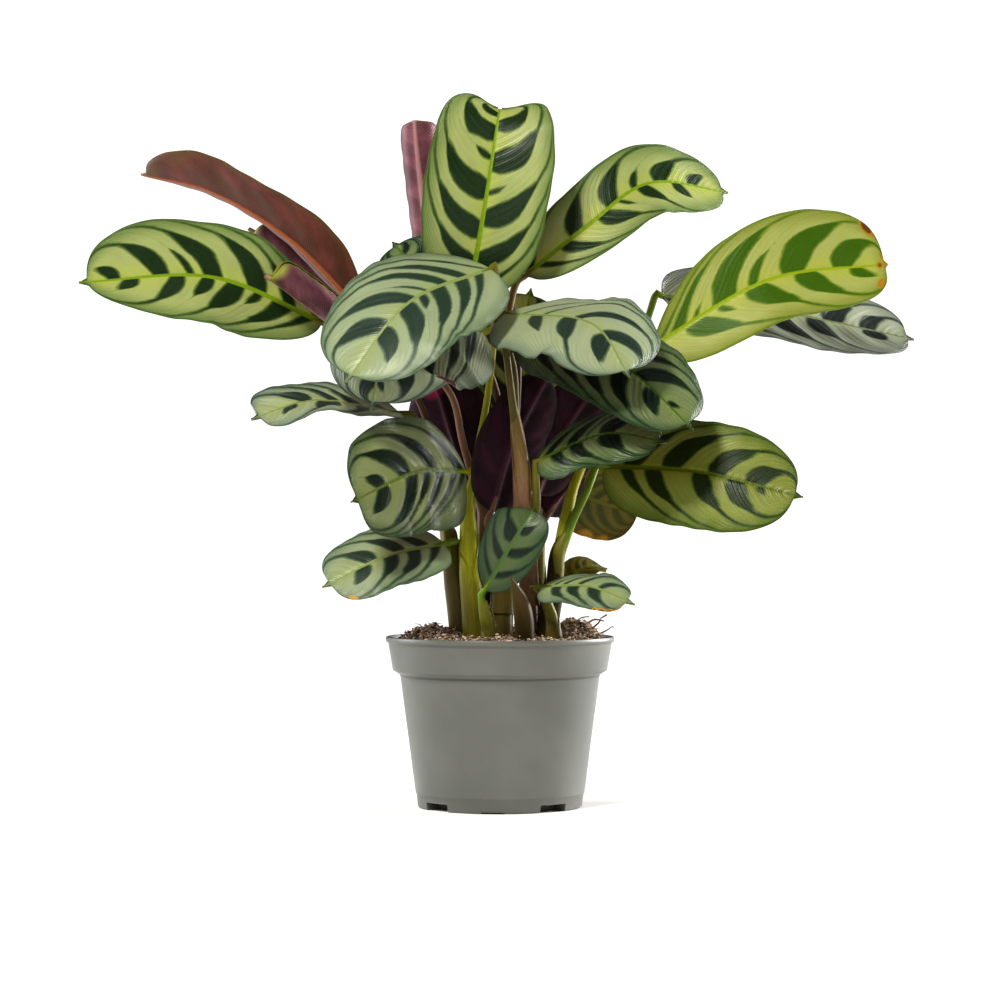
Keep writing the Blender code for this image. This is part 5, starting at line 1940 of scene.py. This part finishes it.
@dataclass
class PottingSoil:
    """Peat filled to the lip, with heaped crumbs, loose fibres and bits of bark on it.

    A mound is (x, y, spread, rise), and side lists (radius, height) downwards. Crumbs and fibres start within
    loose_radius, and fibres end within fibre_radius. A share of them lies on two heaps: heaped says how many,
    right_heap how many of those lie on the first heap, and heap_spread how far they spread in x and y.
    """

    top: float = 52.0
    edge_drop: float = 1.2
    lump: float = 0.5
    radius: float = 32.8
    shoulder: float = 27.0
    mounds: tuple = ((23.0, 1.0, 8.0, 5.0), (-21.0, 0.0, 8.0, 3.5), (6.0, 19.0, 12.0, 2.5))
    side: tuple = ((32.8, 51.0), (31.8, 42.6), (29.5, 40.3), (24.0, 2.8), (23.0, 1.9))
    rings: int = 70
    sides: int = 220
    crumble_sizes: tuple = (3.2, 2.4, 1.7, 1.2, 0.9, 0.7)
    crumb_count: int = 3800
    fibre_count: int = 460
    loose_radius: float = 31.2
    fibre_radius: float = 32.6
    heaped: float = 0.45
    right_heap: float = 0.62
    heaps: tuple = ((24.0, -1.0), (-21.0, -3.0))
    heap_spread: tuple = (4.2, 5.5)
    twigs: tuple = (
        ((28.0, -4, 55.0, 0.3), (30.5, -5, 57.2, 0.26), (31.0, -5, 58.4, 0.2), (33.0, -4.6, 59.6, 0.32)),
        ((26.0, -2, 56.0, 0.3), (29.0, -3, 58.0, 0.3), (32.2, -3, 57.6, 0.2)),
        ((23.5, -3, 57.0, 0.24), (25.0, -4, 58.6, 0.2), (27.5, -4, 59.0, 0.18)),
        ((31.0, -7, 54.0, 0.26), (33.0, -8, 55.0, 0.2), (34.3, -8, 56.0, 0.16), (35.0, -8, 55.8, 0.2)),
        ((-26.0, -9, 52.0, 0.26), (-28.4, -9, 53.2, 0.22), (-29.2, -9, 55.0, 0.14)),
        ((12.0, -6, 54.0, 0.24), (10.5, -7, 58.0, 0.2), (12.6, -7, 61.0, 0.17), (16.0, -6, 62.5, 0.14)),
    )

    def height(self, x: np.ndarray, y: np.ndarray) -> np.ndarray:
        """Height of the soil's surface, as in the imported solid.

        Args:
            x: Places to the right.
            y: Places to the back.

        Returns:
            The height at each place.
        """
        edge = np.maximum(0.0, np.hypot(x, y) - self.shoulder) / (self.radius - self.shoulder)
        lumps = np.sin(x * 0.61 + 1.3) * np.sin(y * 0.53 + 0.4) + 0.6 * np.sin(x * 1.13 + y * 0.87)
        mound = np.zeros_like(x)
        for at_x, at_y, spread, rise in self.mounds:
            mound = mound + rise * np.exp(-((x - at_x) ** 2 + (y - at_y) ** 2) / spread**2)
        return self.top + self.lump * lumps + mound * (1 - 0.6 * edge**2) - self.edge_drop * edge**2

    def crumble(self, x: np.ndarray, y: np.ndarray, draw: np.random.Generator) -> np.ndarray:
        """Fine unevenness made of many small waves in random directions.

        Args:
            x: Places to the right.
            y: Places to the back.
            draw: Where the random directions come from.

        Returns:
            How far each place is raised or sunk.
        """
        total = np.zeros_like(x)
        for size in self.crumble_sizes:
            for _ in range(4):
                way = draw.uniform(0, math.tau)
                phase = draw.uniform(0, math.tau)
                swing = (x * math.cos(way) + y * math.sin(way)) * math.tau / size + phase
                total = total + size * 0.055 * np.sin(swing)
        return total

    def build_plug(self, peat: bpy.types.Material) -> bpy.types.Object:
        """Makes the body of soil: an uneven top, smooth sides that follow the pot, and a flat underside.

        Args:
            peat: The soil's material.

        Returns:
            The soil's object.
        """
        draw = np.random.default_rng(SEED)
        angle = np.linspace(0, math.tau, self.sides, endpoint=False)
        radii = np.linspace(0.35, self.radius, self.rings)
        x = radii[:, None] * np.cos(angle)
        y = radii[:, None] * np.sin(angle)
        fade = np.clip((self.radius - radii) / 1.5, 0, 1)[:, None]
        z = self.height(x, y) + self.crumble(x, y, draw) * fade
        for ring, low in self.side:
            x = np.vstack([x, ring * np.cos(angle)])
            y = np.vstack([y, ring * np.sin(angle)])
            z = np.vstack([z, np.full(self.sides, low)])
        points = np.stack([x, y, z], -1).reshape(-1, 3)
        ends = [[0, 0, points[: self.sides, 2].mean()], [0, 0, self.side[-1][1]]]
        draft = Draft()
        draft.add(np.vstack([points, ends]), turned_faces(len(x), self.sides))
        return draft.to_object("potting_soil", [peat], 180.0)

    def scatter(self, draw: np.random.Generator, count: int) -> tuple[np.ndarray, np.ndarray]:
        """Random places on the soil, denser on the two heaps beside the shoots.

        Args:
            draw: Where the random places come from.
            count: How many are wanted.

        Returns:
            Places to the right and to the back.
        """
        spread = draw.uniform(0, 1, count)
        around = draw.uniform(0, math.tau, count)
        away = self.loose_radius * np.sqrt(draw.uniform(0.02, 1, count))
        x, y = away * np.cos(around), away * np.sin(around)
        heaped = spread < self.heaped
        heap = np.where(draw.uniform(0, 1, count) < self.right_heap, 0, 1)
        centre = np.array(self.heaps)[heap]
        x = np.where(heaped, centre[:, 0] + draw.normal(0, self.heap_spread[0], count), x)
        y = np.where(heaped, centre[:, 1] + draw.normal(0, self.heap_spread[1], count), y)
        pull = np.minimum(1.0, self.loose_radius / np.maximum(np.hypot(x, y), 1e-6))
        return x * pull, y * pull

    def build_crumbs(self, chips: bpy.types.Material) -> bpy.types.Object:
        """Makes the loose crumbs and bark bits that lie on the soil.

        Args:
            chips: Their material.

        Returns:
            The crumbs' object.
        """
        draw = np.random.default_rng(SEED + 1)
        shape = bmesh.new()
        bmesh.ops.create_icosphere(shape, subdivisions=1, radius=1.0)
        ball = np.array([vertex.co[:] for vertex in shape.verts])
        faces = [tuple(vertex.index for vertex in face.verts) for face in shape.faces]
        shape.free()
        draft = Draft()
        x, y = self.scatter(draw, self.crumb_count)
        z = self.height(x, y)
        for number in range(self.crumb_count):
            size = 0.22 + 0.65 * draw.uniform(0, 1) ** 2
            size = size * np.array([1.0, draw.uniform(0.45, 0.9), draw.uniform(0.3, 0.7)])
            rough = ball * (1 + draw.uniform(-0.3, 0.3, (len(ball), 1))) * size
            spin = Matrix.Rotation(draw.uniform(0, math.tau), 3, "Z")
            turn = np.array(spin @ Matrix.Rotation(draw.uniform(-1, 1), 3, "X"))
            spot = np.array([x[number], y[number], z[number] + 0.2 + draw.exponential(0.25)])
            points = rough @ turn.T + spot
            shade = np.tile([draw.uniform(0, 1) ** 1.6, 0.0, 0.0], (len(ball), 1))
            draft.add(points, faces, 0, points, shade)
        return draft.to_object("soil_crumbs", [chips], 70.0)

    def build_fibres(self, chips: bpy.types.Material) -> bpy.types.Object:
        """Makes the loose fibres and twigs, most of them heaped on the right.

        Args:
            chips: Their material.

        Returns:
            The fibres' object.
        """
        draw = np.random.default_rng(SEED + 2)
        draft = Draft()
        x, y = self.scatter(draw, self.fibre_count)
        z = self.height(x, y)
        for number in range(self.fibre_count):
            long = draw.uniform(0.8, 3.4)
            way = draw.uniform(0, math.tau)
            climb = draw.normal(0.1, 0.35)
            ahead = unit(np.array([math.cos(way), math.sin(way), climb]))
            start = np.array([x[number], y[number], z[number] + 0.3])
            bend = draw.normal(0, long * 0.18, 3) * (1, 1, 0.5)
            knots = [start, start + ahead * long / 2 + bend, start + ahead * long]
            thick = draw.uniform(0.04, 0.13)
            knots = [(*knot, thick * share) for knot, share in zip(knots, (0.8, 1.0, 0.5))]
            route = Path(knots).at(np.linspace(0, 1, 7))
            outside = np.hypot(route[:, 0], route[:, 1])
            route[:, :2] *= np.minimum(1.0, self.fibre_radius / np.maximum(outside, 1e-6))[:, None]
            points, faces, place, marking = tube_form(route, 5)
            marking[:, 0] = draw.uniform(0, 1) ** 1.2
            draft.add(points, faces, 0, points, marking)
        for knots in self.twigs:
            points, faces, place, marking = tube_form(Path(knots).at(np.linspace(0, 1, 14)), 7)
            marking[:, 0] = 0.15
            draft.add(points, faces, 0, points, marking)
        return draft.to_object("soil_fibres", [chips], 70.0)


@dataclass
class Studio:
    """A pale floor, soft lights and the camera that looks level at the plant.

    The picture's scale, mm_per_pixel, is that at the pot's middle. The lights' aim is a height in metres.
    """

    camera_distance: float = 1000.0
    camera_height: float = 95.0
    mm_per_pixel: float = 0.31
    pixels: float = 1000.0
    floor_radius: float = 6000.0
    aim: float = 0.12

    def build_camera(self) -> None:
        """Puts the camera level in front of the plant, so that a pixel spans the named size at the pot."""
        data = bpy.data.cameras.new("camera")
        data.sensor_width = 36.0
        data.lens = data.sensor_width * self.camera_distance / (self.mm_per_pixel * self.pixels)
        data.clip_end = 100.0
        camera = bpy.data.objects.new("camera", data)
        camera.location = (0.0, -self.camera_distance * MM, self.camera_height * MM)
        camera.rotation_euler = (math.radians(90), 0.0, 0.0)
        bpy.context.scene.collection.objects.link(camera)
        bpy.context.scene.camera = camera

    def add_light(self, name: str, place: tuple, size: float, power: float, code: str) -> None:
        """Adds one square soft light aimed at the plant.

        Args:
            name: The light's name.
            place: Where it stands, in metres.
            size: Its side in metres.
            power: Watts.
            code: Its colour.
        """
        data = bpy.data.lights.new(name, "AREA")
        data.size = size
        data.energy = power
        data.color = linear(code)[:3]
        lamp = bpy.data.objects.new(name, data)
        lamp.location = place
        lamp.rotation_euler = (Vector((0, 0, self.aim)) - Vector(place)).to_track_quat("-Z", "Y").to_euler()
        bpy.context.scene.collection.objects.link(lamp)

    def build_floor(self) -> None:
        """Lays a wide matt floor: painted board that fades into the bright backdrop far out."""
        mesh = bpy.data.meshes.new("floor")
        shape = bmesh.new()
        bmesh.ops.create_circle(shape, cap_ends=True, segments=96, radius=self.floor_radius * MM)
        shape.to_mesh(mesh)
        shape.free()
        # To the eye: dead matt white paint, which takes soft shadows and shows no shine
        material, tree = new_material("matt painted board, white")
        spot = add_node(tree, "ShaderNodeTexCoord").outputs["Object"]
        away = add_node(tree, "ShaderNodeVectorMath", {0: spot}, operation="LENGTH").outputs["Value"]
        fade = add_step(tree, Step.EASE, away, 0.12, 0.75)
        board = add_node(tree, "ShaderNodeBsdfDiffuse", {"Color": linear("#F4F3F0")})
        glow = add_node(tree, "ShaderNodeEmission", {"Color": (1, 1, 1, 1), "Strength": 1.0})
        both = add_node(tree, "ShaderNodeMixShader", {0: fade, 1: board.outputs[0], 2: glow.outputs[0]})
        add_node(tree, "ShaderNodeOutputMaterial", {"Surface": both.outputs[0]})
        mesh.materials.append(material)
        floor = bpy.data.objects.new("floor", mesh)
        bpy.context.scene.collection.objects.link(floor)

    def build_world(self) -> None:
        """Makes a white surround that lights the plant softly and shows as a white backdrop."""
        world = bpy.data.worlds.new("studio")
        bpy.context.scene.world = world
        world.use_nodes = True
        tree = world.node_tree
        tree.nodes.clear()
        seen = add_node(tree, "ShaderNodeLightPath").outputs["Is Camera Ray"]
        inputs = {"Value": seen, "To Min": 0.17, "To Max": 1.0}
        strength = add_node(tree, "ShaderNodeMapRange", inputs).outputs[0]
        sky = add_node(tree, "ShaderNodeBackground", {"Color": (1, 1, 1, 1), "Strength": strength})
        add_node(tree, "ShaderNodeOutputWorld", {"Surface": sky.outputs[0]})

    def build(self) -> None:
        """Sets up the whole studio."""
        self.build_camera()
        self.build_floor()
        self.build_world()
        self.add_light("overhead_key", (-0.38, -0.8, 1.02), 0.22, 13.0, "#FFFBF2")
        self.add_light("rim_right", (0.95, 0.45, 0.35), 0.7, 24.0, "#FFFFFF")
        self.add_light("rim_left", (-1.0, 0.35, 0.4), 0.7, 10.0, "#F6FAFF")
        self.add_light("front_fill", (-0.35, -1.3, 0.5), 0.8, 2.0, "#FFFFFF")
        bpy.context.scene.view_settings.view_transform = "Standard"
        bpy.context.scene.view_settings.look = "Medium High Contrast"


class PrayerPlant:
    """The whole plant in its pot."""

    def __init__(self) -> None:
        """Makes every finish once."""
        finishes = {**CUTICLES, **LININGS, **RINDS}
        self.materials = {key: finish.build() for key, finish in finishes.items()}
        self.plastic = MouldedPolypropylene().build()
        self.peat = Peat("crumbled peat, dark", "#382C24", "#7C6858", "#B4A290", 0.7).build()
        self.chips = Peat("dry peat fibre and bark, tan", "#584436", "#9A7E66", "#D0BCA6", 0.36).build()

    def build(self) -> None:
        """Builds each sub-assembly in order."""
        settle(NurseryPot().build(self.plastic), "pot", "pot")
        soil = PottingSoil()
        settle(soil.build_plug(self.peat), "soil", "soil")
        settle(soil.build_crumbs(self.chips), "soil")
        settle(soil.build_fibres(self.chips), "soil")
        blades = {blade.name: blade for blade in BLADES}
        for blade in BLADES:
            settle(blade.build(self.materials), "leaf", blade.name)
        for shoot in SHOOTS:
            settle(shoot.build(blades, self.materials), "stem", shoot.name)


def main() -> None:
    """Loads the frame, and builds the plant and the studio."""
    logging.basicConfig(level=logging.INFO, format="%(message)s")
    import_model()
    Studio().build()
    PrayerPlant().build()
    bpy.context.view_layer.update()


if __name__ == "__main__":
    main()
